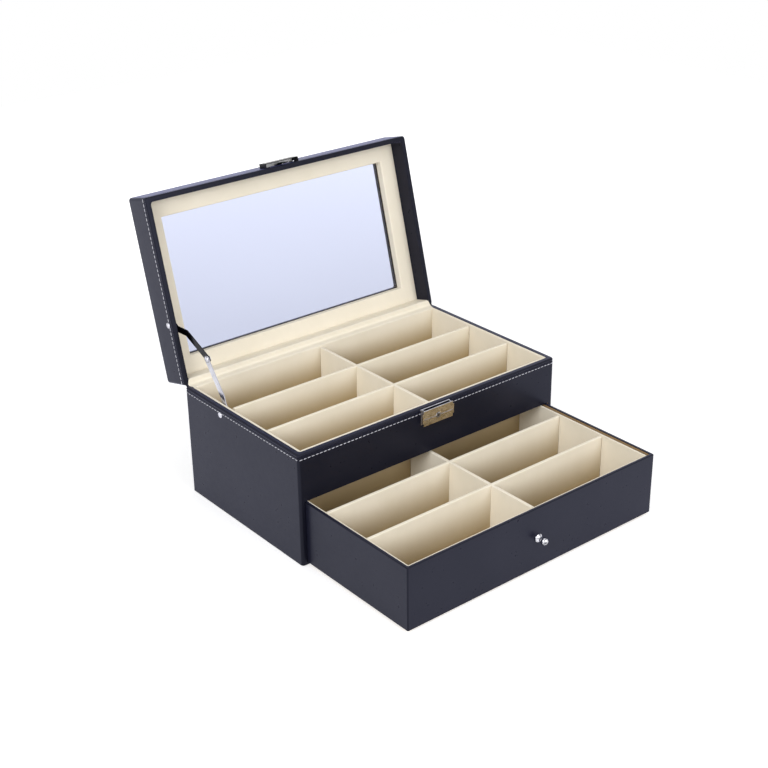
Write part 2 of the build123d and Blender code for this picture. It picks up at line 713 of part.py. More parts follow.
with BuildPart() as window_spacer:
    with BuildSketch(lid_plane.offset(glass_bottom)):
        with Locations((0, lid_middle)):
            Rectangle(2 * lid_inside_x, 2 * lid_inside_y)
            Rectangle(glass_width + 2 * glass_play, glass_depth + 2 * glass_play, mode=Mode.SUBTRACT)
    extrude(amount=glass_thickness)
write_piece(window_spacer, "window_spacer")

with BuildPart() as window_liner_frame:
    with BuildSketch(lid_plane.offset(liner_frame_bottom)):
        with Locations((0, lid_middle)):
            Rectangle(2 * lid_inside_x, 2 * lid_inside_y)
            Rectangle(case_width - 2 * liner_frame_inset, case_depth - 2 * liner_frame_inset,
                      mode=Mode.SUBTRACT)
    extrude(amount=liner_frame_thickness)
    lower_face = window_liner_frame.faces().sort_by(lid_plane.location.z_axis)[0]
    fillet(lower_face.inner_wires()[0].edges(), liner_frame_radius)
write_piece(window_liner_frame, "window_liner_frame")

# Cream cloth over the hinge: one strip on the case's back rim, one turned over the lid's
# back rim and up its inner face

with BuildPart() as hinge_flap_case:
    with BuildSketch(Plane.XY.offset(board_top)):
        with Locations((0, (tray_y + board_y) / 2)):
            Rectangle(2 * tray_x, board_y - tray_y)
    extrude(amount=flap_thickness)
    fillet(hinge_flap_case.edges().group_by(Axis.Z)[-1].group_by(Axis.Y)[0], flap_thickness / 2)
write_piece(hinge_flap_case, "hinge_flap_case")

flap_inner = -wall - flap_thickness
flap_end_play = 0.2
with BuildPart() as hinge_flap_lid:
    with BuildSketch(lid_side.offset(-lid_inside_x + flap_end_play)):
        with BuildLine():
            Polyline((-leather_thickness, lid_rim), (flap_inner, lid_rim), (flap_inner, liner_frame_bottom),
                     (-wall, liner_frame_bottom), (-wall, rail_bottom), (-leather_thickness, rail_bottom),
                     close=True)
        make_face()
    extrude(amount=2 * (lid_inside_x - flap_end_play))
write_piece(hinge_flap_lid, "hinge_flap_lid")

# Leather hinge outside: a strip glued to each back wall, with the fold between them

with BuildPart() as hinge_strip_case:
    with BuildSketch(Plane.XZ.offset(-case_depth / 2)):
        with Locations((0, hinge_z - strip_clear - strip_reach / 2)):
            Rectangle(strip_width, strip_reach)
    extrude(amount=-strip_thickness)
write_piece(hinge_strip_case, "hinge_strip_case")

with BuildPart() as hinge_strip_lid:
    with BuildSketch(lid_plane.offset(strip_clear)):
        with Locations((0, strip_thickness / 2)):
            Rectangle(strip_width, strip_thickness)
    extrude(amount=strip_reach)
write_piece(hinge_strip_lid, "hinge_strip_lid")

# Folding stay. Each arm is a flat strip with round ends, cranked near the wall so that
# the two lie side by side at the elbow.


def cranked_arm(wall_face, pivot, angle, joggle):
    strip_plane = Plane(origin=(wall_face, *pivot), x_dir=(0, cos(angle), sin(angle)), z_dir=(1, 0, 0))
    crank_plane = Plane(origin=strip_plane.origin, x_dir=strip_plane.x_dir, z_dir=-strip_plane.y_dir)
    ramp_shift = arm_thickness * tan(atan2(joggle, joggle_run) / 2)
    ramp_end = joggle_start + joggle_run
    with BuildPart() as arm:
        with BuildSketch(strip_plane):
            with Locations((arm_length / 2, 0)):
                SlotCenterToCenter(arm_length, arm_width)
        extrude(amount=joggle + arm_thickness)
        with BuildSketch(crank_plane):
            with BuildLine():
                Polyline((-arm_width, 0), (joggle_start, 0), (ramp_end, joggle),
                         (arm_length + arm_width, joggle),
                         (arm_length + arm_width, joggle + arm_thickness),
                         (ramp_end - ramp_shift, joggle + arm_thickness),
                         (joggle_start - ramp_shift, arm_thickness), (-arm_width, arm_thickness), close=True)
            make_face()
        extrude(amount=arm_width, both=True, mode=Mode.INTERSECT)
        with BuildSketch(strip_plane):
            with Locations((0, 0), (arm_length, 0)):
                Circle(pivot_radius + pivot_play)
        extrude(amount=joggle + arm_thickness, mode=Mode.SUBTRACT)
    return arm


def headed_rivet(pivot, outer_face, inner_face, outer_radius, outer_height, inner_radius, inner_height):
    with BuildPart() as rivet:
        with BuildSketch(Plane.YZ.offset(outer_face)):
            with Locations(pivot):
                Circle(pivot_radius)
        extrude(amount=inner_face - outer_face)
        with BuildSketch(Plane.YZ.offset(outer_face)):
            with Locations(pivot):
                Circle(outer_radius)
        extrude(amount=-outer_height)
        with BuildSketch(Plane.YZ.offset(inner_face)):
            with Locations(pivot):
                Circle(inner_radius)
        extrude(amount=inner_height)
        chamfer(rivet.edges().sort_by(Axis.X)[0], rivet_edge * outer_height)
    return rivet


lower_outer = -tray_x + stay_play
lower_elbow_inner = lower_outer + lower_joggle + arm_thickness
upper_elbow_outer = lower_elbow_inner + arm_gap
upper_elbow_inner = upper_elbow_outer + arm_thickness
upper_outer = -lid_inside_x + lid_rivet_tail + stay_play
upper_joggle = upper_elbow_outer - upper_outer

stay_lower_arm = cranked_arm(lower_outer, case_pivot, lower_angle, lower_joggle)
write_piece(stay_lower_arm, "stay_lower_arm")

toward_elbow = atan2(elbow[1] - lid_pivot[1], elbow[0] - lid_pivot[0])
stay_upper_arm = cranked_arm(upper_outer, lid_pivot, toward_elbow, upper_joggle)
write_piece(stay_upper_arm, "stay_upper_arm")

case_stay_rivet = headed_rivet(case_pivot, -case_width / 2, lower_outer + arm_thickness + stay_play,
                               rivet_head_radius, rivet_head_height, rivet_inner_radius, rivet_inner_height)
write_piece(case_stay_rivet, "case_stay_rivet")

lid_stay_rivet = headed_rivet(lid_pivot, -case_width / 2, -lid_inside_x,
                              rivet_head_radius, rivet_head_height, rivet_inner_radius, lid_rivet_tail)
write_piece(lid_stay_rivet, "lid_stay_rivet")

elbow_rivet = headed_rivet(elbow, lower_outer + lower_joggle, upper_elbow_inner + stay_play,
                           rivet_inner_radius, rivet_inner_height, rivet_inner_radius, rivet_inner_height)
write_piece(elbow_rivet, "elbow_rivet")

# The upper arm's own stud. Its axis is the linkage's open pivot: it stops short of the lid's rivet.
pin_plane = Plane.YZ.offset(upper_outer)
with BuildPart() as stay_lid_stud:
    with BuildSketch(pin_plane):
        with Locations(lid_pivot):
            Circle(pivot_radius)
    extrude(amount=arm_thickness)
    with BuildSketch(pin_plane.offset(arm_thickness)):
        with Locations(lid_pivot):
            Circle(rivet_inner_radius)
    extrude(amount=rivet_inner_height)
    chamfer(stay_lid_stud.edges().sort_by(Axis.X)[-1], rivet_edge * rivet_inner_height)
write_piece(stay_lid_stud, "stay_lid_stud")

# Lock on the case: a back plate screwed through the leather, and a body with a stepped
# face plate, open at the top where the hasp's tongue comes down

with BuildPart() as lock_backplate:
    with BuildSketch(front_face):
        Rectangle(lock_width - 2 * lock_ear_width, lock_height)
        with GridLocations(screw_spacing, 0, 2, 1):
            Circle(screw_radius, mode=Mode.SUBTRACT)
    extrude(amount=lock_plate_thickness)
write_piece(lock_backplate, "lock_backplate")

body_depth = lock_depth - lock_plate_thickness - lock_face_thickness
cylinder_z = cylinder_height - lock_height / 2

with BuildPart() as lock_case:
    with BuildSketch(front_face.offset(lock_plate_thickness)):
        Rectangle(lock_width - 2 * lock_body_inset, lock_height)
        with Locations((0, lock_wall_thickness)):
            Rectangle(lock_width - 2 * lock_body_inset - 2 * lock_wall_thickness, lock_height,
                      mode=Mode.SUBTRACT)
    extrude(amount=body_depth)
    with BuildSketch(front_face.offset(lock_depth - lock_face_thickness)):
        Rectangle(lock_width, lock_height)
        with GridLocations(lock_width, lock_height, 2, 2):
            Rectangle(2 * lock_ear_width, 2 * lock_ear_step, mode=Mode.SUBTRACT)
    extrude(amount=lock_face_thickness)
    with BuildSketch(front_face.offset(lock_depth - lock_line_depth)):
        with Locations((0, cylinder_z)):
            Rectangle(lock_width - 2 * lock_ear_width, lock_line_width)
    extrude(amount=lock_line_depth, mode=Mode.SUBTRACT)
    with BuildSketch(front_face.offset(lock_depth - lock_face_thickness)):
        with Locations((0, cylinder_z)):
            Circle(cylinder_radius + cylinder_play)
    extrude(amount=lock_face_thickness, mode=Mode.SUBTRACT)
write_piece(lock_case, "lock_case")

with BuildPart() as lock_screws:
    for along in (-screw_spacing / 2, screw_spacing / 2):
        with BuildSketch(front_face.offset(lock_plate_thickness)):
            with Locations((along, 0)):
                Circle(screw_head_radius)
        extrude(amount=screw_head_height)
        with BuildSketch(front_face.offset(lock_plate_thickness)):
            with Locations((along, 0)):
                Circle(screw_radius)
        extrude(amount=-screw_length)
write_piece(lock_screws, "lock_screws")

# Key cylinder with a cam lever on its back. A quarter turn swings the lever's pin up into
# the notch in the side of the hasp's tongue. The lever passes in front of the tongue.

tongue_edge = -tongue_width / 2
tongue_front = tongue_stand_off + tongue_thickness
cam_back = tongue_front + cam_play

with BuildPart() as lock_cylinder:
    with BuildSketch(front_face.offset(cam_back)):
        with Locations((0, cylinder_z)):
            Circle(cylinder_radius)
    extrude(amount=lock_depth + cylinder_proud - cam_back)
    chamfer(lock_cylinder.edges().sort_by(Axis.Y)[0], cylinder_proud / 2)
    with BuildSketch(front_face.offset(lock_depth + cylinder_proud)):
        with Locations((0, cylinder_z)):
            Rectangle(keyhole_width, keyhole_length)
            Circle(keyhole_width)
    extrude(amount=-keyhole_depth, mode=Mode.SUBTRACT)
    with BuildSketch(front_face.offset(cam_back)):
        with Locations((-cam_reach / 2, cylinder_z)):
            SlotCenterToCenter(cam_reach, cam_width)
    extrude(amount=cam_thickness)
    with BuildSketch(front_face.offset(cam_back)):
        with Locations((-cam_reach, cylinder_z)):
            Circle(cam_pin_radius)
    extrude(amount=tongue_stand_off - cam_back)
write_piece(lock_cylinder, "lock_cylinder")

# Hasp on the lid: a bent cover that stands off the leather, its rivets and the tongue

half_hasp = hasp_width / 2

with BuildPart() as hasp_cover:
    with BuildSketch(Plane(origin=hasp_plane.origin + lid_plane.z_dir * hasp_bottom,
                           x_dir=(1, 0, 0), z_dir=lid_plane.z_dir)):
        with BuildLine():
            Polyline((-half_hasp, 0), (-half_hasp, -hasp_depth), (half_hasp, -hasp_depth), (half_hasp, 0),
                     (half_hasp - hasp_foot_width, 0), (half_hasp - hasp_foot_width, -hasp_thickness),
                     (half_hasp - hasp_thickness, -hasp_thickness),
                     (half_hasp - hasp_thickness, hasp_thickness - hasp_depth),
                     (hasp_thickness - half_hasp, hasp_thickness - hasp_depth),
                     (hasp_thickness - half_hasp, -hasp_thickness),
                     (hasp_foot_width - half_hasp, -hasp_thickness), (hasp_foot_width - half_hasp, 0),
                     close=True)
        make_face()
    extrude(amount=hasp_height)
    add(hasp_rivet_holes.part, mode=Mode.SUBTRACT)
write_piece(hasp_cover, "hasp_cover")

# The notch spans the pin's arc from the tongue's edge to its middle, lid closed
pin_entry = (cam_reach ** 2 - (tongue_edge - cam_pin_radius) ** 2) ** 0.5
cam_axis_up = lock_middle + cylinder_z - hinge_z
notch_top = cam_axis_up + cam_reach + cam_pin_radius + cam_play
notch_bottom = cam_axis_up + pin_entry - cam_pin_radius - cam_play
notch_depth_across = cam_pin_radius + cam_play - tongue_edge
tongue_tip = notch_bottom - tongue_lip

with BuildPart() as hasp_tongue:
    with BuildSketch(Plane(origin=hasp_plane.origin + lid_plane.x_dir * tongue_edge,
                           x_dir=hasp_plane.z_dir, z_dir=(-1, 0, 0))):
        with BuildLine():
            Polyline((0, tongue_root), (0, tongue_root + tongue_foot_height),
                     (tongue_thickness, tongue_root + tongue_foot_height), (tongue_thickness, tongue_root),
                     (tongue_front, tongue_root - tongue_stand_off), (tongue_front, tongue_tip),
                     (tongue_stand_off, tongue_tip), (tongue_stand_off, tongue_root - tongue_stand_off),
                     close=True)
        make_face()
    extrude(amount=-tongue_width)
    with BuildSketch(hasp_plane.offset(tongue_stand_off)):
        with Locations((tongue_edge, (notch_top + notch_bottom) / 2)):
            Rectangle(2 * notch_depth_across, notch_top - notch_bottom)
    extrude(amount=tongue_thickness, mode=Mode.SUBTRACT)
    add(hasp_rivet_holes.part, mode=Mode.SUBTRACT)
write_piece(hasp_tongue, "hasp_tongue")

with BuildPart() as hasp_rivets:
    for along, up, seat in hasp_rivet_places:
        with BuildSketch(hasp_plane.offset(seat)):
            with Locations((along, up)):
                Circle(hasp_rivet_head_radius)
        extrude(amount=hasp_rivet_head_height)
        with BuildSketch(hasp_plane.offset(seat)):
            with Locations((along, up)):
                Circle(hasp_rivet_radius)
        extrude(amount=hasp_thickness - hasp_rivet_length - seat)
write_piece(hasp_rivets, "hasp_rivets")
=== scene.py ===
import json
import math

import bpy
from mathutils import Matrix, Vector

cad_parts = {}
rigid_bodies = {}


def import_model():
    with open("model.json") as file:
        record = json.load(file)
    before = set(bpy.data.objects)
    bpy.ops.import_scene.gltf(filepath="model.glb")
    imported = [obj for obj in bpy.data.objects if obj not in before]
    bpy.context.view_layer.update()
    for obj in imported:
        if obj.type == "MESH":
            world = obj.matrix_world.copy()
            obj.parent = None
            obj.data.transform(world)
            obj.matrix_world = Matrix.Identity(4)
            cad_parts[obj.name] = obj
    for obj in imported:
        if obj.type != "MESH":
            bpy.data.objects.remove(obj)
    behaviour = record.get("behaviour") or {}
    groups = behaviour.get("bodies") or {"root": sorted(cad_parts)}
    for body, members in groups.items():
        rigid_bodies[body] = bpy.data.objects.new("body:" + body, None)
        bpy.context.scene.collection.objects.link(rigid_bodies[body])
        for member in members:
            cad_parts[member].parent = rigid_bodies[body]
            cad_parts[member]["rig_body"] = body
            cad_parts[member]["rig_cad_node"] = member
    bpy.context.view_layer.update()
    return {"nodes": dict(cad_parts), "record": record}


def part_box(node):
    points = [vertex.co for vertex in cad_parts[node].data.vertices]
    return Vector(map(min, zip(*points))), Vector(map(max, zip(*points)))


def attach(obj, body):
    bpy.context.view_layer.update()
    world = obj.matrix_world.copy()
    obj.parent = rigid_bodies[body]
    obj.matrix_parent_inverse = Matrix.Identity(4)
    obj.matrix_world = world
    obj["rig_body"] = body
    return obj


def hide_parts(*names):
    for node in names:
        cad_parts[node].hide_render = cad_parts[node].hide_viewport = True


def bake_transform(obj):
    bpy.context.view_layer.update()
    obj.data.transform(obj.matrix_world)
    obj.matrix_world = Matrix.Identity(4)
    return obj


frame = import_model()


def mm(value):
    return value / 1000


# ---------- picking and shaping by hand, in edit mode ----------

def pickOnly(piece):
    bpy.ops.object.select_all(action="DESELECT")
    piece.select_set(True)
    bpy.context.view_layer.objects.active = piece


def pickParts(piece, kind, test):
    # kind is VERT, EDGE or FACE; the test gets the place in mm (both ends for an edge, middle and normal for a face)
    pickOnly(piece)
    bpy.ops.object.mode_set(mode="EDIT")
    bpy.ops.mesh.select_mode(type=kind)
    bpy.ops.mesh.select_all(action="DESELECT")
    bpy.ops.object.mode_set(mode="OBJECT")
    mesh = piece.data
    if kind == "VERT":
        for corner in mesh.vertices:
            corner.select = bool(test(corner.co * 1000))
    elif kind == "EDGE":
        for edge in mesh.edges:
            ends = [mesh.vertices[i].co * 1000 for i in edge.vertices]
            edge.select = bool(test(ends[0], ends[1]))
    else:
        for face in mesh.polygons:
            face.select = bool(test(face.center * 1000, face.normal))
    bpy.ops.object.mode_set(mode="EDIT")


def shapeParts(piece, kind, test, operator, **settings):
    pickParts(piece, kind, test)
    operator(**settings)
    bpy.ops.object.mode_set(mode="OBJECT")


def everyPart(*ignored):
    return True


def applyAll(piece):
    pickOnly(piece)
    for modifier in list(piece.modifiers):
        bpy.ops.object.modifier_apply(modifier=modifier.name)


def settle(piece, matrix=None):
    # the object ends at the origin, its place in its mesh
    if matrix is not None:
        piece.matrix_world = matrix @ piece.matrix_world
    pickOnly(piece)
    bpy.ops.object.transform_apply(location=True, rotation=True, scale=True)
    return piece


def addBlock(low, high):
    middle = [mm((a + b) / 2) for a, b in zip(low, high)]
    bpy.ops.mesh.primitive_cube_add(size=1, location=middle)
    block = bpy.context.active_object
    block.scale = [mm(b - a) for a, b in zip(low, high)]
    return settle(block)


def addSoftBlock(low, high, rounding, steps):
    block = addBlock(low, high)
    shapeParts(block, "EDGE", everyPart, bpy.ops.mesh.bevel, offset=mm(rounding), segments=steps, affect="EDGES")
    return block


def cutAway(piece, *cutters):
    for cutter in cutters:
        cut = piece.modifiers.new("cut", "BOOLEAN")
        cut.operation = "DIFFERENCE"
        cut.solver = "MANIFOLD"
        cut.object = cutter
        applyAll(piece)
        bpy.data.objects.remove(cutter)


def joinTo(piece, others):
    bpy.ops.object.select_all(action="DESELECT")
    for other in others:
        other.select_set(True)
    piece.select_set(True)
    bpy.context.view_layer.objects.active = piece
    bpy.ops.object.join()
    return piece


def wrapRing(width, depth, middleY, corner, profile, thickness):
    # a sheet drawn round a rectangle: (inset, height) rings pulled one from the next, then given its thickness
    bpy.ops.mesh.primitive_plane_add(size=1, location=(0, mm(middleY), mm(profile[0][1])))
    sheet = bpy.context.active_object
    sheet.scale = (mm(width), mm(depth), 1)
    settle(sheet)
    shapeParts(sheet, "VERT", everyPart, bpy.ops.mesh.bevel, offset=mm(corner), segments=6, affect="VERTICES")
    pickParts(sheet, "EDGE", everyPart)
    bpy.ops.mesh.delete(type="ONLY_FACE")
    bpy.ops.mesh.select_all(action="SELECT")
    before = (0, profile[0][1])
    for number, (inset, height) in enumerate(profile):
        if number:
            bpy.ops.mesh.extrude_region_move(TRANSFORM_OT_translate={"value": (0, 0, mm(height - before[1]))})
        grow = [(side - 2 * inset) / (side - 2 * before[0]) for side in (width, depth)]
        bpy.ops.transform.resize(value=(grow[0], grow[1], 1), center_override=(0, mm(middleY), mm(height)))
        before = (inset, height)
    bpy.ops.mesh.select_all(action="SELECT")
    bpy.ops.mesh.normals_make_consistent(inside=False)
    bpy.ops.object.mode_set(mode="OBJECT")
    widest = max(sheet.data.polygons, key=lambda face: face.center.x - abs(face.normal.z))
    if widest.normal.x < 0:
        shapeParts(sheet, "FACE", everyPart, bpy.ops.mesh.flip_normals)
    wall = sheet.modifiers.new("wall", "SOLIDIFY")
    wall.thickness = mm(thickness)
    wall.offset = -1
    applyAll(sheet)
    return sheet


def turnPiece(profile, place, sides=40):
    # a turned piece: a disc pulled out ring by ring, (radius, height), and closed at its tip
    bpy.ops.mesh.primitive_circle_add(vertices=sides, radius=mm(profile[0][0]), fill_type="NGON",
                                      location=(0, 0, mm(profile[0][1])))
    turned = bpy.context.active_object
    settle(turned)
    pickParts(turned, "FACE", everyPart)
    before = profile[0]
    for radius, height in profile[1:]:
        bpy.ops.mesh.extrude_region_move(TRANSFORM_OT_translate={"value": (0, 0, mm(height - before[1]))})
        if radius > 0:
            bpy.ops.transform.resize(value=(radius / before[0], radius / before[0], 1),
                                     center_override=(0, 0, mm(height)))
            before = (radius, height)
        else:
            bpy.ops.mesh.merge(type="CENTER")
    bpy.ops.object.mode_set(mode="OBJECT")
    shapeParts(turned, "FACE", everyPart, bpy.ops.mesh.normals_make_consistent, inside=False)
    return settle(turned, place)


def carveCopy(nodeName, edgeWidth, steps=2):
    # a solid of the frame, merged, with its sharp edges eased
    pickOnly(frame["nodes"][nodeName])
    bpy.ops.object.duplicate()
    copy = bpy.context.active_object
    copy.parent = None
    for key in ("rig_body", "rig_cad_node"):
        if key in copy:
            del copy[key]
    shapeParts(copy, "VERT", everyPart, bpy.ops.mesh.remove_doubles, threshold=0.000002)
    shapeParts(copy, "FACE", everyPart, bpy.ops.mesh.dissolve_limited, angle_limit=math.radians(1))
    ease = copy.modifiers.new("ease", "BEVEL")
    ease.width = mm(edgeWidth)
    ease.segments = steps
    ease.limit_method = "ANGLE"
    ease.angle_limit = math.radians(35)
    applyAll(copy)
    return copy


def finishPiece(piece, name, body, material, nodes=(), smooth=35):
    piece.name = name
    piece.data.name = name
    pickOnly(piece)
    bpy.ops.object.shade_smooth_by_angle(angle=math.radians(smooth))
    flat = piece.modifiers.new("flat", "WEIGHTED_NORMAL")    # wide faces keep their own direction beside eased edges
    flat.weight = 90
    flat.keep_sharp = True
    applyAll(piece)
    piece.data.materials.clear()
    piece.data.materials.append(material)
    if body:
        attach(piece, body)
    if nodes:
        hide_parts(*nodes)
    return piece


# ---------- materials ----------

def linear(hexColour):
    channels = [int(hexColour[i:i + 2], 16) / 255 for i in (1, 3, 5)]
    return [c / 12.92 if c <= 0.04045 else ((c + 0.055) / 1.055) ** 2.4 for c in channels] + [1.0]


def addNode(tree, kind, settings=None, links=None):
    # settings: socket or property name to value; links: socket name to the output that feeds it
    node = tree.nodes.new(kind)
    for name, value in (settings or {}).items():
        if isinstance(name, str) and hasattr(node, name):
            setattr(node, name, value)
        else:
            node.inputs[name].default_value = value
    for name, output in (links or {}).items():
        tree.links.new(output, node.inputs[name])
    return node


def newMaterial(name):
    material = bpy.data.materials.new(name)
    material.use_nodes = True
    tree = material.node_tree
    shader = tree.nodes["Principled BSDF"]
    return material, tree, shader


def ramp(tree, feed, stops):
    node = addNode(tree, "ShaderNodeValToRGB", {}, {"Fac": feed})
    elements = node.color_ramp.elements
    while len(elements) < len(stops):
        elements.new(0.5)
    for element, (place, colour) in zip(elements, stops):
        element.position = place
        element.color = colour if not isinstance(colour, float) else (colour, colour, colour, 1)
    return node.outputs["Color"]


def noise(tree, place, grainMm, detail, roughness=0.5):
    # a noise over the object, its Scale worked out from the size of its grain in mm
    settings = {"Scale": 1000 / grainMm, "Detail": detail, "Roughness": roughness}
    return addNode(tree, "ShaderNodeTexNoise", settings, {"Vector": place}).outputs["Fac"]


def addRelief(tree, shader, height, strength, depthMm):
    bump = addNode(tree, "ShaderNodeBump", {"Strength": strength, "Distance": mm(depthMm)}, {"Height": height})
    tree.links.new(bump.outputs["Normal"], shader.inputs["Normal"])


def setSockets(shader, values):
    for name, value in values.items():
        shader.inputs[name].default_value = value


def makeLeather(name, settings):
    # black polyurethane leather, embossed with a fine grain and half glossy, near black; its gloss and sheen are
    # tinted blue as painted reflection, standing in for the bluish surroundings that it reflects
    material, tree, shader = newMaterial(name)
    place = addNode(tree, "ShaderNodeTexCoord").outputs["Object"]
    pebbles = addNode(tree, "ShaderNodeTexVoronoi", {"feature": "F1", "Scale": 1000 / settings["grainMm"]},
                      {"Vector": place})
    wrinkles = noise(tree, place, settings["wrinkleMm"], 4.0, 0.6)
    cloud = noise(tree, place, settings["cloudMm"], 2.0)
    tone = ramp(tree, cloud, [(0.3, linear(settings["dark"])), (0.7, linear(settings["light"]))])
    rough = ramp(tree, wrinkles, [(0.3, settings["roughLow"]), (0.7, settings["roughHigh"])])
    grain = addNode(tree, "ShaderNodeMath", {"operation": "MULTIPLY_ADD", 1: settings["pebbleShare"]},
                    {0: pebbles.outputs["Distance"], 2: wrinkles})
    tree.links.new(tone, shader.inputs["Base Color"])
    tree.links.new(rough, shader.inputs["Roughness"])
    addRelief(tree, shader, grain.outputs[0], settings["bump"], 0.12)
    setSockets(shader, {"IOR": 1.5, "Specular IOR Level": settings["shine"],
                        "Specular Tint": linear(settings["paintedReflectionTint"]), "Sheen Weight": settings["haze"],
                        "Sheen Roughness": 0.4, "Sheen Tint": linear(settings["paintedSheenTint"])})
    return material


def makeVelvet(name, settings, shadeHeights=None):
    # flocked cream velvet on card: matt, with a short nap brushed up and down, paler at a glancing angle
    # the last argument gives the heights in mm between which painted shade goes from tan, low in the cells, to none
    # higher up: the shade that falls deep in the cells, painted into the colour
    material, tree, shader = newMaterial(name)
    place = addNode(tree, "ShaderNodeTexCoord").outputs["Object"]
    stretch = addNode(tree, "ShaderNodeMapping", {"Scale": (1, 1, 0.6)}, {"Vector": place}).outputs["Vector"]
    nap = noise(tree, stretch, settings["napMm"], 3.0, 0.65)
    pile = noise(tree, place, settings["pileMm"], 2.0)
    colour = ramp(tree, nap, [(0.25, linear(settings["dark"])), (0.75, linear(settings["light"]))])
    if shadeHeights:
        # painted shade: the colour is multiplied towards tan by height alone, darker towards the bottom
        height = addNode(tree, "ShaderNodeSeparateXYZ", {}, {"Vector": place}).outputs["Z"]
        shadeFade = addNode(tree, "ShaderNodeMapRange",
                       {"interpolation_type": "SMOOTHSTEP", "From Min": mm(shadeHeights[0]), "From Max": mm(shadeHeights[1])},
                       {"Value": height})
        paintedShade = ramp(tree, shadeFade.outputs["Result"], [(0.0, linear(settings["paintedShade"])), (1.0, (1, 1, 1, 1))])
        colour = addNode(tree, "ShaderNodeMix", {"data_type": "RGBA", "blend_type": "MULTIPLY", 0: 1.0},
                         {6: colour, 7: paintedShade}).outputs[2]
    tree.links.new(colour, shader.inputs["Base Color"])
    addRelief(tree, shader, pile, settings["bump"], 0.2)
    setSockets(shader, {"Roughness": 0.9, "Specular IOR Level": 0.2, "Sheen Weight": settings["sheen"],
                        "Sheen Roughness": 0.5, "Sheen Tint": linear("#FFF4DC")})
    return material


def makeMetal(name, settings):
    # plated sheet metal: a thin bright coat over polish lines, a little worn and cloudy; where the cloud runs from
    # dark grey to pale it is painted reflection
    material, tree, shader = newMaterial(name)
    place = addNode(tree, "ShaderNodeTexCoord").outputs["Object"]
    polish = addNode(tree, "ShaderNodeMapping", {"Scale": (1, 6, 6)}, {"Vector": place}).outputs["Vector"]
    lines = noise(tree, polish, settings["lineMm"], 3.0)
    cloud = noise(tree, place, settings["cloudMm"], 2.0)
    tone = ramp(tree, cloud, [(0.35, linear(settings["dark"])), (0.65, linear(settings["light"]))])
    rough = ramp(tree, lines, [(0.3, settings["roughLow"]), (0.7, settings["roughHigh"])])
    tree.links.new(tone, shader.inputs["Base Color"])
    tree.links.new(rough, shader.inputs["Roughness"])
    addRelief(tree, shader, lines, 0.08, 0.05)
    setSockets(shader, {"Metallic": 1.0})
    return material


def makeMatt(name, settings):
    # plain matt stuff such as fibreboard, card, felt and thread: flecked with fibres, no gloss
    material, tree, shader = newMaterial(name)
    place = addNode(tree, "ShaderNodeTexCoord").outputs["Object"]
    fibre = noise(tree, place, settings["fibreMm"], 5.0, 0.7)
    tone = ramp(tree, fibre, [(0.3, linear(settings["dark"])), (0.7, linear(settings["light"]))])
    tree.links.new(tone, shader.inputs["Base Color"])
    addRelief(tree, shader, fibre, 0.3, 0.1)
    setSockets(shader, {"Roughness": settings["rough"]})
    return material


def makeGlass(name, settings):
    # float glass, polished flat: clear with a few very faint wipe marks; its cool grey tint is painted light,
    # standing in for the dimmer, bluish backdrop seen through it, on top of the faint tint the glass has
    material, tree, shader = newMaterial(name)
    place = addNode(tree, "ShaderNodeTexCoord").outputs["Object"]
    rough = ramp(tree, noise(tree, place, settings["wipeMm"], 2.0), [(0.4, 0.0), (0.9, 0.03)])
    tree.links.new(rough, shader.inputs["Roughness"])
    setSockets(shader, {"Base Color": linear(settings["paintedBackdropTint"]), "IOR": 1.52, "Transmission Weight": 1.0})
    return material


# the leather's real grain is 0.5 mm, drawn coarser so that it shows
# painted reflection: the blue tints of gloss and sheen stand in for bluish surroundings
leather = makeLeather("embossedBlackLeather", {
    "grainMm": 1.3, "wrinkleMm": 5.0, "cloudMm": 60.0, "pebbleShare": 0.6, "dark": "#121215", "light": "#18181C",
    "shine": 0.18, "paintedReflectionTint": "#CAD0FF", "haze": 0.22, "paintedSheenTint": "#8C98FF", "roughLow": 0.27, "roughHigh": 0.38,
    "bump": 0.2})
velvetLook = {"napMm": 28.0, "pileMm": 1.2, "dark": "#E3DBC9", "light": "#E8E0D0", "paintedShade": "#C1AF8C", "bump": 0.2,
              "sheen": 0.15}
velvet = makeVelvet("flockedCreamVelvet", velvetLook)
# painted shade: the tray and drawer velvets darken towards the bottom of their walls for the shade deep in the cells;
# the back one is darker over its whole height for the shade under the case's front edge
velvets = {"case": makeVelvet("flockedCreamVelvetTrayPaintedShade", velvetLook, (76.0, 121.0)),
           "drawer": makeVelvet("flockedCreamVelvetDrawerPaintedShade", velvetLook, (8.0, 68.0)),
           "back": makeVelvet("flockedCreamVelvetBackPaintedShade", velvetLook, (20.0, 140.0)),
           "ends": velvet}    # floors and end walls get no painted shade
nickel = makeMetal("polishedNickelPlate", {"lineMm": 3.0, "cloudMm": 12.0, "dark": "#B4B4BC", "light": "#D0D0DA",
                                           "roughLow": 0.10, "roughHigh": 0.2})
# painted reflection: nickel blotched from dark grey to pale at a 2.6 mm scale stands in for the dark room that the
# mirror-bright knob and key cylinder reflect
nickelWithPaintedReflections = makeMetal("mirrorNickelPaintedReflections", {"lineMm": 2.0, "cloudMm": 2.6, "dark": "#5C5C62", "light": "#D8D8DE",
                                            "roughLow": 0.06, "roughHigh": 0.14})
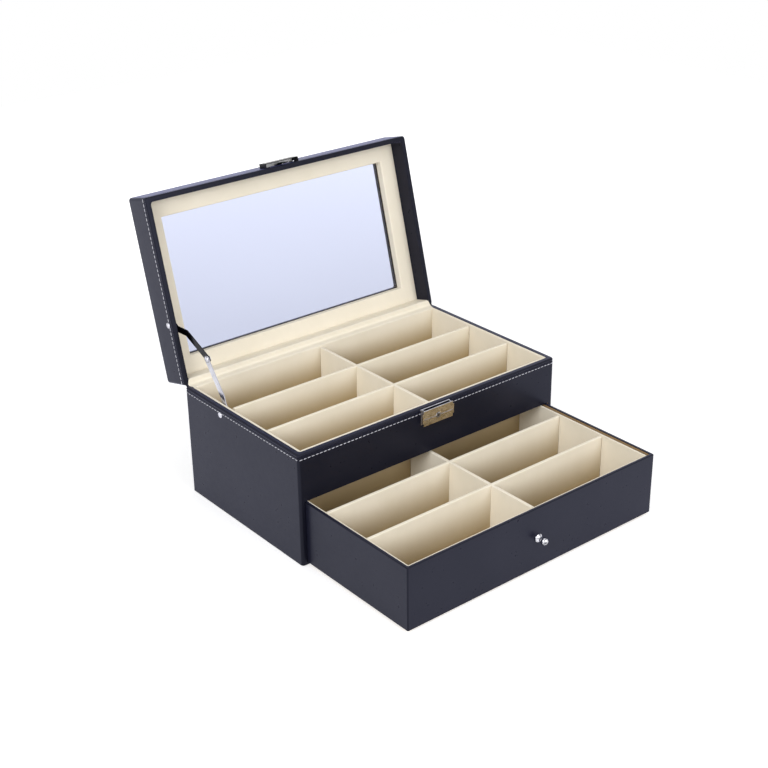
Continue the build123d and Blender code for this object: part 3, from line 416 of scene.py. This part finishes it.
# painted reflection: near-black plating on the upper stay arm and the hasp stands in for chrome that reflects the
# dark room
paintedDarkReflectionPlate = makeMetal("chromePaintedDarkForReflections", {"lineMm": 3.0, "cloudMm": 10.0, "dark": "#141417", "light": "#2C2C32",
                                           "roughLow": 0.12, "roughHigh": 0.25})
lockBrass = makeMetal("agedBrassPlate", {"lineMm": 2.0, "cloudMm": 7.0, "dark": "#C4B496", "light": "#DACBB0",
                                         "roughLow": 0.18, "roughHigh": 0.32})
thread = makeMatt("waxedThread", {"fibreMm": 0.8, "dark": "#B4B4BE", "light": "#DCDCE4", "rough": 0.55})
board = makeMatt("fibreboard", {"fibreMm": 2.5, "dark": "#8E7352", "light": "#B4966C", "rough": 0.85})
card = makeMatt("blackCard", {"fibreMm": 2.0, "dark": "#141416", "light": "#202024", "rough": 0.8})
felt = makeMatt("blackFelt", {"fibreMm": 1.5, "dark": "#101012", "light": "#222226", "rough": 0.95})
windowGlass = makeGlass("floatGlassPaintedBackdropTint", {"wipeMm": 90.0, "paintedBackdropTint": "#C6CBE0"})
print("materials made")

# the frame's own nodes keep their shapes and get these finishes by their slot
slotLooks = {"felt": felt, "board": board, "leather": leather, "velvet": velvet, "card": card, "glass": windowGlass,
             "nickel": nickel, "lock_brass": lockBrass, "steel": nickel}
slotOfNode = {entry["node"]: entry["material_slot"] for entry in frame["record"]["subparts"]}
for nodeName, nodeObject in frame["nodes"].items():
    nodeObject.data.materials.clear()
    nodeObject.data.materials.append(slotLooks[slotOfNode[nodeName]])

# ---------- camera ----------

camera = {"azimuth": -38.95, "elevation": 25.65, "roll": -0.78, "focalPixels": 1430.0, "imagePixels": 768.0,
          "eye": (-836.7, -1053.3, 752.8)}
turn = math.radians(camera["azimuth"])
rise = math.radians(camera["elevation"])
lean = math.radians(camera["roll"])
back = Vector((math.sin(turn) * math.cos(rise), -math.cos(turn) * math.cos(rise), math.sin(rise)))
flatRight = Vector((math.cos(turn), math.sin(turn), 0))
flatUp = back.cross(flatRight)
right = flatRight * math.cos(lean) + flatUp * math.sin(lean)
up = flatUp * math.cos(lean) - flatRight * math.sin(lean)
cameraData = bpy.data.cameras.new("camera")
cameraData.sensor_width = 36
cameraData.lens = camera["focalPixels"] / camera["imagePixels"] * 36
cameraData.clip_end = 50
cameraObject = bpy.data.objects.new("camera", cameraData)
bpy.context.scene.collection.objects.link(cameraObject)
facing = Matrix((right, up, back)).transposed().to_4x4()
cameraObject.matrix_world = Matrix.Translation([mm(v) for v in camera["eye"]]) @ facing
bpy.context.scene.camera = cameraObject

# ---------- case ----------

case = {"width": 335.0, "depth": 195.0, "height": 121.0, "wall": 5.5, "leather": 0.8, "corner": 3.0, "bottom": 0.4,
        "doorTop": 70.0, "doorBottom": 2.4, "stitchDrop": 5.6, "trayWall": 2.8}
halfWidth = case["width"] / 2
halfDepth = case["depth"] / 2
insideX = halfWidth - case["wall"]
insideY = halfDepth - case["wall"]
trayX = insideX - case["trayWall"]
trayY = insideY - case["trayWall"]


def rimRoll(rim, away):
    # (inset, height) from the wall over the rolled rim to its inner lip; away is +1 for the case and -1 for the lid
    steps = [(0, 6.6), (0.12, 6.1), (0.12, 5.1), (0, 4.6), (0, 3.7), (0.15, 3.3), (0.55, 3.05), (0.55, 2.8),
             (0.15, 2.5), (0, 2.1), (0, 1.4), (0.25, 0.65), (0.8, 0.15), (1.6, 0), (5.0, 0), (5.4, 0.1), (5.5, 0.4), (5.5, 0.8)]
    return [(inset, rim - away * drop) for inset, drop in steps]


caseWrap = wrapRing(case["width"], case["depth"], 0, case["corner"],
                    [(0, case["bottom"]), (0, 60)] + rimRoll(case["height"], 1), case["leather"])
door = addBlock((-insideX, -halfDepth - 3, case["doorBottom"]), (insideX, -halfDepth + 3, case["doorTop"]))
hingeBed = addBlock((-trayX, insideY - 1, case["height"] - 0.9),
                    (trayX, halfDepth - case["leather"], case["height"] + 1))
cutAway(caseWrap, door, hingeBed)
doorFold = addSoftBlock((-insideX, -halfDepth + 0.05, case["doorTop"]),
                        (insideX, -insideY, case["doorTop"] + case["leather"]), 0.35, 2)
joinTo(caseWrap, [doorFold])
finishPiece(caseWrap, "caseWrap", "case", leather, ["case_leather"])
print("case wrap made")

# ---------- stitches ----------

stitch = {"pitch": 4.7, "length": 3.8, "width": 0.7, "proud": 0.35, "cornerGap": 3.2, "slant": 3.0}


def stitchRun(start, end, outward, count):
    # one stitch, then an array of it along the run
    along = (Vector(end) - Vector(start)).normalized()
    across = Vector(outward).cross(along)
    frameMatrix = Matrix((along, across, Vector(outward))).transposed().to_4x4()
    bpy.ops.mesh.primitive_uv_sphere_add(segments=8, ring_count=5, radius=1)
    one = bpy.context.active_object
    one.scale = (mm(stitch["length"] / 2), mm(stitch["width"] / 2), mm(stitch["proud"]))
    settle(one)
    slant = Matrix.Rotation(math.radians(stitch["slant"]), 4, "Z")
    settle(one, Matrix.Translation([mm(v) for v in start]) @ frameMatrix @ slant)
    row = one.modifiers.new("row", "ARRAY")
    row.count = count
    row.use_relative_offset = False
    row.use_constant_offset = True
    row.constant_offset_displace = along * mm((Vector(end) - Vector(start)).length / (count - 1))
    applyAll(one)
    return one


def stitchSides(height, middleY, front):
    # runs along the side walls, and the front one where asked for, clear of the corners
    w = halfWidth - stitch["cornerGap"]
    d = halfDepth - stitch["cornerGap"]
    places = [((halfWidth, middleY - d, height), (halfWidth, middleY + d, height), (1, 0, 0)),
              ((-halfWidth, middleY + d, height), (-halfWidth, middleY - d, height), (-1, 0, 0))]
    if front:
        places.append(((-w, middleY - halfDepth, height), (w, middleY - halfDepth, height), (0, -1, 0)))
    runs = []
    for start, end, outward in places:
        count = round((Vector(end) - Vector(start)).length / stitch["pitch"]) + 1
        runs.append(stitchRun(start, end, outward, count))
    return joinTo(runs[0], runs[1:])


caseStitches = stitchSides(case["height"] - case["stitchDrop"], 0, True)
finishPiece(caseStitches, "caseStitches", "case", thread, smooth=60)

# ---------- tray ----------

tray = {"floorTop": 75.6, "floorBottom": 73.8, "dividerTop": 119.3, "divider": 3.6, "edge": 0.9, "thinEdge": 0.4,
        "endPlay": 0.25, "slotPlay": 0.2, "notchReach": 3.6, "notchDepth": 10.6}


def nodeMiddle(nodeName):
    # the middle of a solid of the frame, in mm: (y, z)
    low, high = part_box(nodeName)
    return ((low[1] + high[1]) * 500, (low[2] + high[2]) * 500)


def velvetPanel(name, low, high, body, nodes, rounding=tray["edge"], steps=4, faces=None):
    # card under velvet, with soft edges
    panel = addSoftBlock(low, high, rounding, steps)
    return finishPiece(panel, name, body, velvets[faces or body], nodes, smooth=60)


velvetPanel("trayFloor", (-trayX, -trayY, tray["floorBottom"]), (trayX, trayY, tray["floorTop"]), "case",
            ["tray_floor"], tray["thinEdge"], 2, "ends")
for side, name in ((-1, "Left"), (1, "Right")):
    ends = sorted((side * insideX, side * trayX))
    velvetPanel("trayLiner" + name, (ends[0], -insideY, tray["floorBottom"]), (ends[1], insideY, case["height"]),
                "case", ["tray_liner_" + name.lower()], faces="ends")
velvetPanel("trayLinerFront", (-trayX, -insideY, tray["floorBottom"]), (trayX, -trayY, case["height"]), "case",
            ["tray_liner_front"])
velvetPanel("trayLinerBack", (-trayX, trayY, tray["floorBottom"]),
            (trayX, insideY, case["height"] - case["leather"] - 0.05), "case", ["tray_liner_back"],
            tray["thinEdge"], 2)


def crossedDividers(prefix, body, centreX, spineEnds, rows, halfWide, bottom, top, nodes, notch=None):
    # dividers on edge, crossing with half-height slots; notch cuts the rear one's left end, (reach, depth)
    thick = tray["divider"] / 2
    middle = (bottom + top) / 2
    slotHalf = thick + tray["slotPlay"] / 2
    spine = addSoftBlock((centreX - thick, spineEnds[0], bottom), (centreX + thick, spineEnds[1], top),
                         tray["edge"], 4)
    for row in rows:
        cutAway(spine, addBlock((centreX - 5, row - slotHalf, middle), (centreX + 5, row + slotHalf, top + 5)))
    finishPiece(spine, prefix + "CentreDivider", body, velvets["ends"], [nodes[0]], smooth=60)
    for row, name, node in zip(rows, ("Front", "Rear"), nodes[1:]):
        rib = addSoftBlock((centreX - halfWide, row - thick, bottom), (centreX + halfWide, row + thick, top),
                           tray["edge"], 4)
        cutAway(rib, addBlock((centreX - slotHalf, row - 5, bottom - 5), (centreX + slotHalf, row + 5, middle)))
        if notch and name == "Rear":
            cutAway(rib, addBlock((centreX - halfWide - 5, row - 5, top - notch[1]),
                                  (centreX - halfWide + notch[0], row + 5, top + 5)))
        finishPiece(rib, prefix + name + "Divider", body, velvets[body], [node], smooth=60)


trayRows = [nodeMiddle("tray_front_divider")[0], nodeMiddle("tray_rear_divider")[0]]
crossedDividers("tray", "case", 0, (-trayY + tray["endPlay"], trayY - tray["endPlay"]), trayRows,
                trayX - tray["endPlay"], tray["floorTop"], tray["dividerTop"],
                ["tray_centre_divider", "tray_front_divider", "tray_rear_divider"],
                (tray["notchReach"], tray["notchDepth"]))
print("tray made")

# ---------- drawer ----------

drawer = {"halfWidth": 161.1, "front": -246.5, "back": -58.5, "bottom": 2.7, "top": 68.7, "corner": 1.5, "wall": 3.2,
          "leather": 0.8, "floor": 5.1, "floorTop": 6.6, "liner": 2.0, "rightGap": 3.5, "linerDrop": 0.6,
          "dividerDrop": 1.8, "edge": 0.7}
drawerDepth = drawer["back"] - drawer["front"]
drawerMiddle = (drawer["back"] + drawer["front"]) / 2
drawerRim = [(0, 0.9), (0.12, 0.5), (0.45, 0.12), (0.9, 0), (2.7, 0), (3.05, 0.12), (3.2, 0.4), (3.2, 0.8)]
drawerWrap = wrapRing(2 * drawer["halfWidth"], drawerDepth, drawerMiddle, drawer["corner"],
                      [(0, drawer["bottom"]), (0, 35)] + [(inset, drawer["top"] - drop) for inset, drop in drawerRim],
                      drawer["leather"])
finishPiece(drawerWrap, "drawerWrap", "drawer", leather, ["drawer_leather"])

linerLeft = -drawer["halfWidth"] + drawer["wall"]
linerRight = drawer["halfWidth"] - drawer["wall"] - drawer["rightGap"]
linerFront = drawer["front"] + drawer["wall"]
linerBack = drawer["back"] - drawer["wall"]
linerTop = drawer["top"] - drawer["linerDrop"]
cardWide = drawer["liner"]
linerMiddleX = (linerLeft + linerRight) / 2
velvetPanel("drawerFloor", (linerLeft + cardWide, linerFront + cardWide, drawer["floor"]),
            (linerRight - cardWide, linerBack - cardWide, drawer["floorTop"]), "drawer", ["drawer_liner_floor"],
            tray["thinEdge"], 2, "ends")
velvetPanel("drawerLinerLeft", (linerLeft, linerFront + cardWide, drawer["floor"]),
            (linerLeft + cardWide, linerBack - cardWide, linerTop), "drawer", ["drawer_liner_left"],
            drawer["edge"], 3, "ends")
velvetPanel("drawerLinerRight", (linerRight - cardWide, linerFront + cardWide, drawer["floor"]),
            (linerRight, linerBack - cardWide, linerTop), "drawer", ["drawer_liner_right"], drawer["edge"], 3, "ends")
velvetPanel("drawerLinerFront", (linerLeft, linerFront, drawer["floor"]),
            (linerRight, linerFront + cardWide, linerTop), "drawer", ["drawer_liner_front"], drawer["edge"], 3)
velvetPanel("drawerLinerBack", (linerLeft, linerBack - cardWide, drawer["floor"]), (linerRight, linerBack, linerTop),
            "drawer", ["drawer_liner_back"], drawer["edge"], 3, "back")
drawerRows = [nodeMiddle("drawer_front_divider")[0], nodeMiddle("drawer_rear_divider")[0]]
endGap = cardWide + tray["endPlay"]
crossedDividers("drawer", "drawer", linerMiddleX, (linerFront + endGap, linerBack - endGap), drawerRows,
                (linerRight - linerLeft) / 2 - endGap, drawer["floorTop"], drawer["top"] - drawer["dividerDrop"],
                ["drawer_centre_divider", "drawer_front_divider", "drawer_rear_divider"])

knob = {"height": 35.7, "ball": 3.8, "reach": 8.2, "bands": 12,
        "foot": [(3.9, 0), (4.45, 0.25), (4.5, 0.8), (4.2, 1.3), (3.3, 1.75), (2.3, 2.2), (1.75, 2.9), (1.6, 3.8)]}
ballTurns = [math.radians(-62 + step * 152 / knob["bands"]) for step in range(knob["bands"])]
knobProfile = knob["foot"] + [(knob["ball"] * math.cos(a), knob["reach"] + knob["ball"] * math.sin(a))
                              for a in ballTurns]
knobProfile.append((0, knob["reach"] + knob["ball"]))
knobPlace = Matrix.Translation((0, mm(drawer["front"]), mm(knob["height"])))
towardFront = knobPlace @ Matrix.Rotation(math.radians(90), 4, "X")
knobPiece = turnPiece(knobProfile, towardFront, 48)
finishPiece(knobPiece, "knobTurned", "drawer", nickelWithPaintedReflections, ["knob"], smooth=50)
print("drawer made")

# ---------- lid, made closed and then turned about the hinge line ----------

lid = {"openAngle": 104.4, "hingeY": 97.5, "hingeZ": 121.3, "rim": 0.3, "top": 35.8, "panelBottom": 20.3}
lidMatrix = (Matrix.Translation((0, mm(lid["hingeY"]), mm(lid["hingeZ"])))
             @ Matrix.Rotation(-math.radians(lid["openAngle"]), 4, "X"))
lidMiddle = -halfDepth
topRoll = [(0, 1.5), (0.3, 0.6), (0.9, 0.15), (1.6, 0), (24.2, 0), (25.1, 0.2), (25.5, 0.8), (25.5, 4.8)]
lidRim = rimRoll(lid["rim"], -1)[::-1]
lidTop = [(inset, lid["top"] - drop) for inset, drop in topRoll]
lidWrap = wrapRing(case["width"], case["depth"], lidMiddle, case["corner"],
                   [(5.5, 28.0), (5.5, 12.0)] + lidRim + [(0, 20.0)] + lidTop, case["leather"])
cutAway(lidWrap, addBlock((-insideX, -case["wall"] - 0.2, lid["rim"] - 1),
                          (insideX, -case["leather"], lid["rim"] + 0.85)))
settle(lidWrap, lidMatrix)
finishPiece(lidWrap, "lidWrap", "lid", leather, ["lid_leather"])
lidStitches = stitchSides(lid["rim"] + case["stitchDrop"], lidMiddle, False)
settle(lidStitches, lidMatrix)
finishPiece(lidStitches, "lidStitches", "lid", thread, smooth=60)

# the padded frame round the window, as insets from the lid's inner walls and heights above the panel's underside
panelRim = [(0, 8.2), (0, 0.4), (0.4, 0.0), (6.5, -0.12), (17.8, 0), (18.6, 0.25), (19.1, 0.8), (19.3, 1.6),
            (19.3, 8.2)]
windowPanel = wrapRing(2 * insideX, 2 * insideY, lidMiddle, 0.6,
                       [(inset, lid["panelBottom"] + rise) for inset, rise in panelRim], 0.5)
settle(windowPanel, lidMatrix)
finishPiece(windowPanel, "windowPanel", "lid", velvet, ["window_liner_frame"], smooth=60)
print("lid made")

# ---------- cloth and leather over the hinge ----------

def onLid(y, z):
    # a place on the open lid, from its place on the closed one
    spot = lidMatrix @ Vector((0, mm(y), mm(z)))
    return (spot.y * 1000, spot.z * 1000)


def hingeStrip(points, halfLengths, thickness, offset, levels):
    # a strip across the hinge: its section pulled out point by point, each row set to its own length, then thickened
    bpy.ops.mesh.primitive_plane_add(size=1)
    strip = bpy.context.active_object
    pickParts(strip, "VERT", lambda place: place.y > 0)
    bpy.ops.mesh.delete(type="VERT")
    bpy.ops.object.mode_set(mode="OBJECT")
    strip.data.vertices[0].co = (-mm(halfLengths[0]), mm(points[0][0]), mm(points[0][1]))
    strip.data.vertices[1].co = (mm(halfLengths[0]), mm(points[0][0]), mm(points[0][1]))
    pickParts(strip, "VERT", everyPart)
    bpy.ops.mesh.select_mode(type="EDGE")
    bpy.ops.mesh.select_all(action="SELECT")
    for number in range(1, len(points)):
        before, after = points[number - 1], points[number]
        step = (0, mm(after[0] - before[0]), mm(after[1] - before[1]))
        bpy.ops.mesh.extrude_region_move(TRANSFORM_OT_translate={"value": step})
        longer = halfLengths[number] / halfLengths[number - 1]
        bpy.ops.transform.resize(value=(longer, 1, 1), center_override=(0, 0, 0))
    bpy.ops.object.mode_set(mode="OBJECT")
    wall = strip.modifiers.new("wall", "SOLIDIFY")
    wall.thickness = mm(thickness)
    wall.offset = offset
    applyAll(strip)
    shapeParts(strip, "FACE", everyPart, bpy.ops.mesh.normals_make_consistent, inside=False)
    ease = strip.modifiers.new("ease", "BEVEL")
    ease.width = mm(thickness * 0.3)
    ease.segments = 2
    ease.limit_method = "ANGLE"
    ease.angle_limit = math.radians(70)
    smooth = strip.modifiers.new("smooth", "SUBSURF")
    smooth.levels = levels
    smooth.render_levels = levels
    applyAll(strip)
    return strip


flapTop = case["height"]
# y, z and half length of each row, from the tray's back liner over the hinge to the lid's panel
flapRows = [(trayY + 0.1, flapTop - 0.5, 161.2), (trayY + 0.9, flapTop + 0.1, 161.4),
            (insideY + 0.6, flapTop + 0.35, 161.8), (94.4, flapTop + 0.3, 162.6), (95.9, flapTop + 0.25, 163.2),
            (96.8, flapTop + 0.45, 163.4), (*onLid(-1.7, 0.3), 163.2), (*onLid(-3.0, 0.1), 162.8),
            (*onLid(-5.0, -0.1), 161.9), (*onLid(-6.2, 0.5), 161.6), (*onLid(-6.5, 1.8), 161.6),
            (*onLid(-6.3, 5.0), 161.6), (*onLid(-6.3, 12.0), 161.6), (*onLid(-6.3, 19.0), 161.6),
            (*onLid(-6.3, 20.1), 161.6)]
flapPoints = [row[:2] for row in flapRows]
flap = hingeStrip(flapPoints, [row[2] for row in flapRows], 0.6, 1, 2)
finishPiece(flap, "hingeFlap", None, velvet, ["hinge_flap_case", "hinge_flap_lid"], smooth=60)
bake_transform(flap)

# the black leather runs on over both rims under the cloth, so the corners of the hinge are closed
rimPoints = [(92.2, flapTop - 0.05), (95.0, flapTop - 0.05), (96.8, flapTop - 0.05), (97.6, flapTop + 0.1),
             onLid(-1.2, 0.45), onLid(-3.0, 0.4), onLid(-4.8, 0.4)]
rimStrip = hingeStrip(rimPoints, [halfWidth - 1.4] * len(rimPoints), 0.25, 1, 1)
finishPiece(rimStrip, "hingeRimLeather", None, leather, smooth=60)
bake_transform(rimStrip)

stripHalf = 150.0
stripPoints = [(98.3, 96.3), (98.3, 105.0), (98.3, 113.0), (98.3, 117.5), (98.6, 119.4),
               onLid(0.8, 3.2), onLid(0.8, 6.0), onLid(0.8, 14.0), onLid(0.8, 25.0)]
backStrip = hingeStrip(stripPoints, [stripHalf] * len(stripPoints), 0.75, -1, 2)
finishPiece(backStrip, "hingeStrip", None, leather, ["hinge_strip_case", "hinge_strip_lid"], smooth=60)
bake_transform(backStrip)
print("hinge cloth made")

# ---------- stay, rivets, lock and hasp ----------

for nodeName, pieceName, body, look, slotName, ease in (
        ("stay_lower_arm", "stayLowerArm", "stay_lower", nickel, "nickel", 0.22),
        ("stay_upper_arm", "stayUpperArm", "stay_upper", paintedDarkReflectionPlate, "nickel", 0.22),
        ("lock_case", "lockFace", "case", lockBrass, "lock_brass", 0.12),
        ("lock_backplate", "lockBackplate", "case", nickel, "steel", 0.2),
        ("lock_cylinder", "keyCylinder", "key_cylinder", nickelWithPaintedReflections, "lock_brass", 0.08),
        ("hasp_cover", "haspCover", "lid", paintedDarkReflectionPlate, "nickel", 0.15),
        ("hasp_tongue", "haspTongue", "lid", paintedDarkReflectionPlate, "steel", 0.12)):
    finishPiece(carveCopy(nodeName, ease), pieceName, body, look, [nodeName], smooth=30)


def brightenEdges(pieceName, material, bare):
    # the plating is rubbed bright on the eased edges, and the parts that bare picks never had the colour
    piece = bpy.data.objects[pieceName]
    piece.data.materials.append(material)
    for face in piece.data.polygons:
        slanted = max(abs(part) for part in face.normal) < 0.97
        face.material_index = 1 if slanted or bare(face.center * 1000, face.normal) else 0


# the hasp's cover is closed at its top, above the tongue's foot
hasp = {"halfWidth": 20.3, "depth": 4.8, "low": 12.2, "high": 12.95}
haspRoof = addBlock((-hasp["halfWidth"], -case["depth"] - hasp["depth"], hasp["low"]),
                    (hasp["halfWidth"], -case["depth"] - 0.05, hasp["high"]))
settle(haspRoof, lidMatrix)
joinTo(bpy.data.objects["haspCover"], [haspRoof])

lockTop = 120.1
lockAxis = 111.0
lockFront = -103.5
brightenEdges("lockFace", nickel, lambda place, normal: place.y > lockFront + 0.95 or place.z > lockTop - 0.05
              or (abs(place.z - lockAxis) < 0.4 and place.y > lockFront + 0.05 and abs(place.x) < 20))

# rivet heads as (radius, rise)
rivet = {"pin": 1.5, "outside": (3.1, 1.1), "inside": (2.6, 0.9), "flat": (2.6, 0.3), "elbow": (3.6, 1.2),
         "flush": (1.52, 0.01)}


def domeProfile(radius, rise, pin, length):
    # a pin, its flat shoulder and a domed head
    steps = [math.radians(angle) for angle in (12, 30, 48, 66, 80)]
    profile = [(pin, -length), (pin, 0), (radius * 0.97, 0.0), (radius, rise * 0.12)]
    profile += [(radius * math.cos(a), rise * (0.12 + 0.88 * math.sin(a))) for a in steps]
    return profile + [(0, rise)]


def stayRivet(nodeNames, pieceName, body, outerX, innerX, yz, outer, inner):
    # two heads back to back, each with its half of the pin
    ends = []
    for x, turnDegrees, shape in ((outerX, -90, outer), (innerX, 90, inner)):
        place = Matrix.Translation((mm(x), mm(yz[0]), mm(yz[1]))) @ Matrix.Rotation(math.radians(turnDegrees), 4, "Y")
        ends.append(turnPiece(domeProfile(*shape, rivet["pin"], (innerX - outerX) / 2), place, 32))
    head = joinTo(ends[0], ends[1:])
    finishPiece(head, pieceName, body, nickel, nodeNames, smooth=40)


stayRivet(["case_stay_rivet"], "caseStayRivet", "case", -halfWidth, -157.6, nodeMiddle("case_stay_rivet"),
          rivet["outside"], rivet["inside"])
stayRivet(["lid_stay_rivet"], "lidStayRivet", "lid", -halfWidth, -insideX, nodeMiddle("lid_stay_rivet"),
          rivet["outside"], rivet["flat"])
stayRivet(["elbow_rivet"], "elbowRivet", "stay_lower", -157.3, -154.7, nodeMiddle("elbow_rivet"),
          rivet["elbow"], rivet["elbow"])
stayRivet(["stay_lid_stud"], "stayLidStud", "stay_upper", -161.35, -160.4, nodeMiddle("stay_lid_stud"),
          rivet["flush"], rivet["inside"])
print("metalwork made")

# ---------- floor, light and background ----------

def backgroundRays(tree):
    # 1 for rays that meet the white background: from the camera, and by way of metal and glass
    path = addNode(tree, "ShaderNodeLightPath")
    seen = path.outputs["Is Camera Ray"]
    for kind in ("Is Transmission Ray", "Is Glossy Ray"):
        seen = addNode(tree, "ShaderNodeMath", {"operation": "MAXIMUM"}, {0: seen, 1: path.outputs[kind]}).outputs[0]
    return seen


# the floor's glow shows white and lights nothing: it grows between nearEdge and farEdge, in metres from the box,
# because the lamps reach less far
stage = {"floorSize": 3.4, "floorDrop": 0.0003, "paleness": 0.9, "nearEdge": 0.45, "farEdge": 1.1, "nearGlow": 0.42,
         "farGlow": 0.85, "worldLight": 0.45}
bpy.ops.mesh.primitive_plane_add(size=stage["floorSize"], location=(0, 0, -stage["floorDrop"]))
floor = bpy.context.active_object
floor.name = "floor"
floorMaterial, tree, shader = newMaterial("paleFloor")
setSockets(shader, {"Base Color": [stage["paleness"]] * 3 + [1], "Roughness": 0.9, "Specular IOR Level": 0.0})
spot = addNode(tree, "ShaderNodeTexCoord").outputs["Object"]
far = addNode(tree, "ShaderNodeVectorMath", {"operation": "LENGTH"}, {0: spot}).outputs["Value"]
fade = addNode(tree, "ShaderNodeMapRange", {"From Min": stage["nearEdge"], "From Max": stage["farEdge"],
                                            "To Min": stage["nearGlow"], "To Max": stage["farGlow"]}, {"Value": far})
glow = addNode(tree, "ShaderNodeMath", {"operation": "MULTIPLY"}, {0: backgroundRays(tree), 1: fade.outputs[0]})
shine = addNode(tree, "ShaderNodeEmission", {"Color": (1, 1, 1, 1)}, {"Strength": glow.outputs[0]})
both = addNode(tree, "ShaderNodeAddShader", {}, {0: shader.outputs[0], 1: shine.outputs[0]})
tree.links.new(both.outputs[0], tree.nodes["Material Output"].inputs["Surface"])
floor.data.materials.append(floorMaterial)

world = bpy.data.worlds.new("studio")
bpy.context.scene.world = world
world.use_nodes = True
tree = world.node_tree
level = addNode(tree, "ShaderNodeMapRange", {"To Min": stage["worldLight"], "To Max": 1.0},
                {"Value": backgroundRays(tree)})
tree.links.new(level.outputs[0], tree.nodes["Background"].inputs["Strength"])
tree.nodes["Background"].inputs["Color"].default_value = (1, 1, 1, 1)

lamps = {"keyLamp": {"place": (-1.75, -0.75, 1.05), "size": 1.1, "power": 26},
         "frontLamp": {"place": (0.3, -2.0, 1.0), "size": 1.2, "power": 22},
         "topLamp": {"place": (0.3, 0.1, 1.9), "size": 1.4, "power": 5}}
for lampName, lamp in lamps.items():
    lampData = bpy.data.lights.new(lampName, "AREA")
    lampData.size = lamp["size"]
    lampData.energy = lamp["power"]
    lampObject = bpy.data.objects.new(lampName, lampData)
    bpy.context.scene.collection.objects.link(lampObject)
    lampObject.location = lamp["place"]
    aim = Vector((0, -0.05, 0.1)) - Vector(lamp["place"])
    lampObject.rotation_euler = aim.to_track_quat("-Z", "Y").to_euler()

bpy.context.scene.view_settings.view_transform = "Standard"
print("studio made")
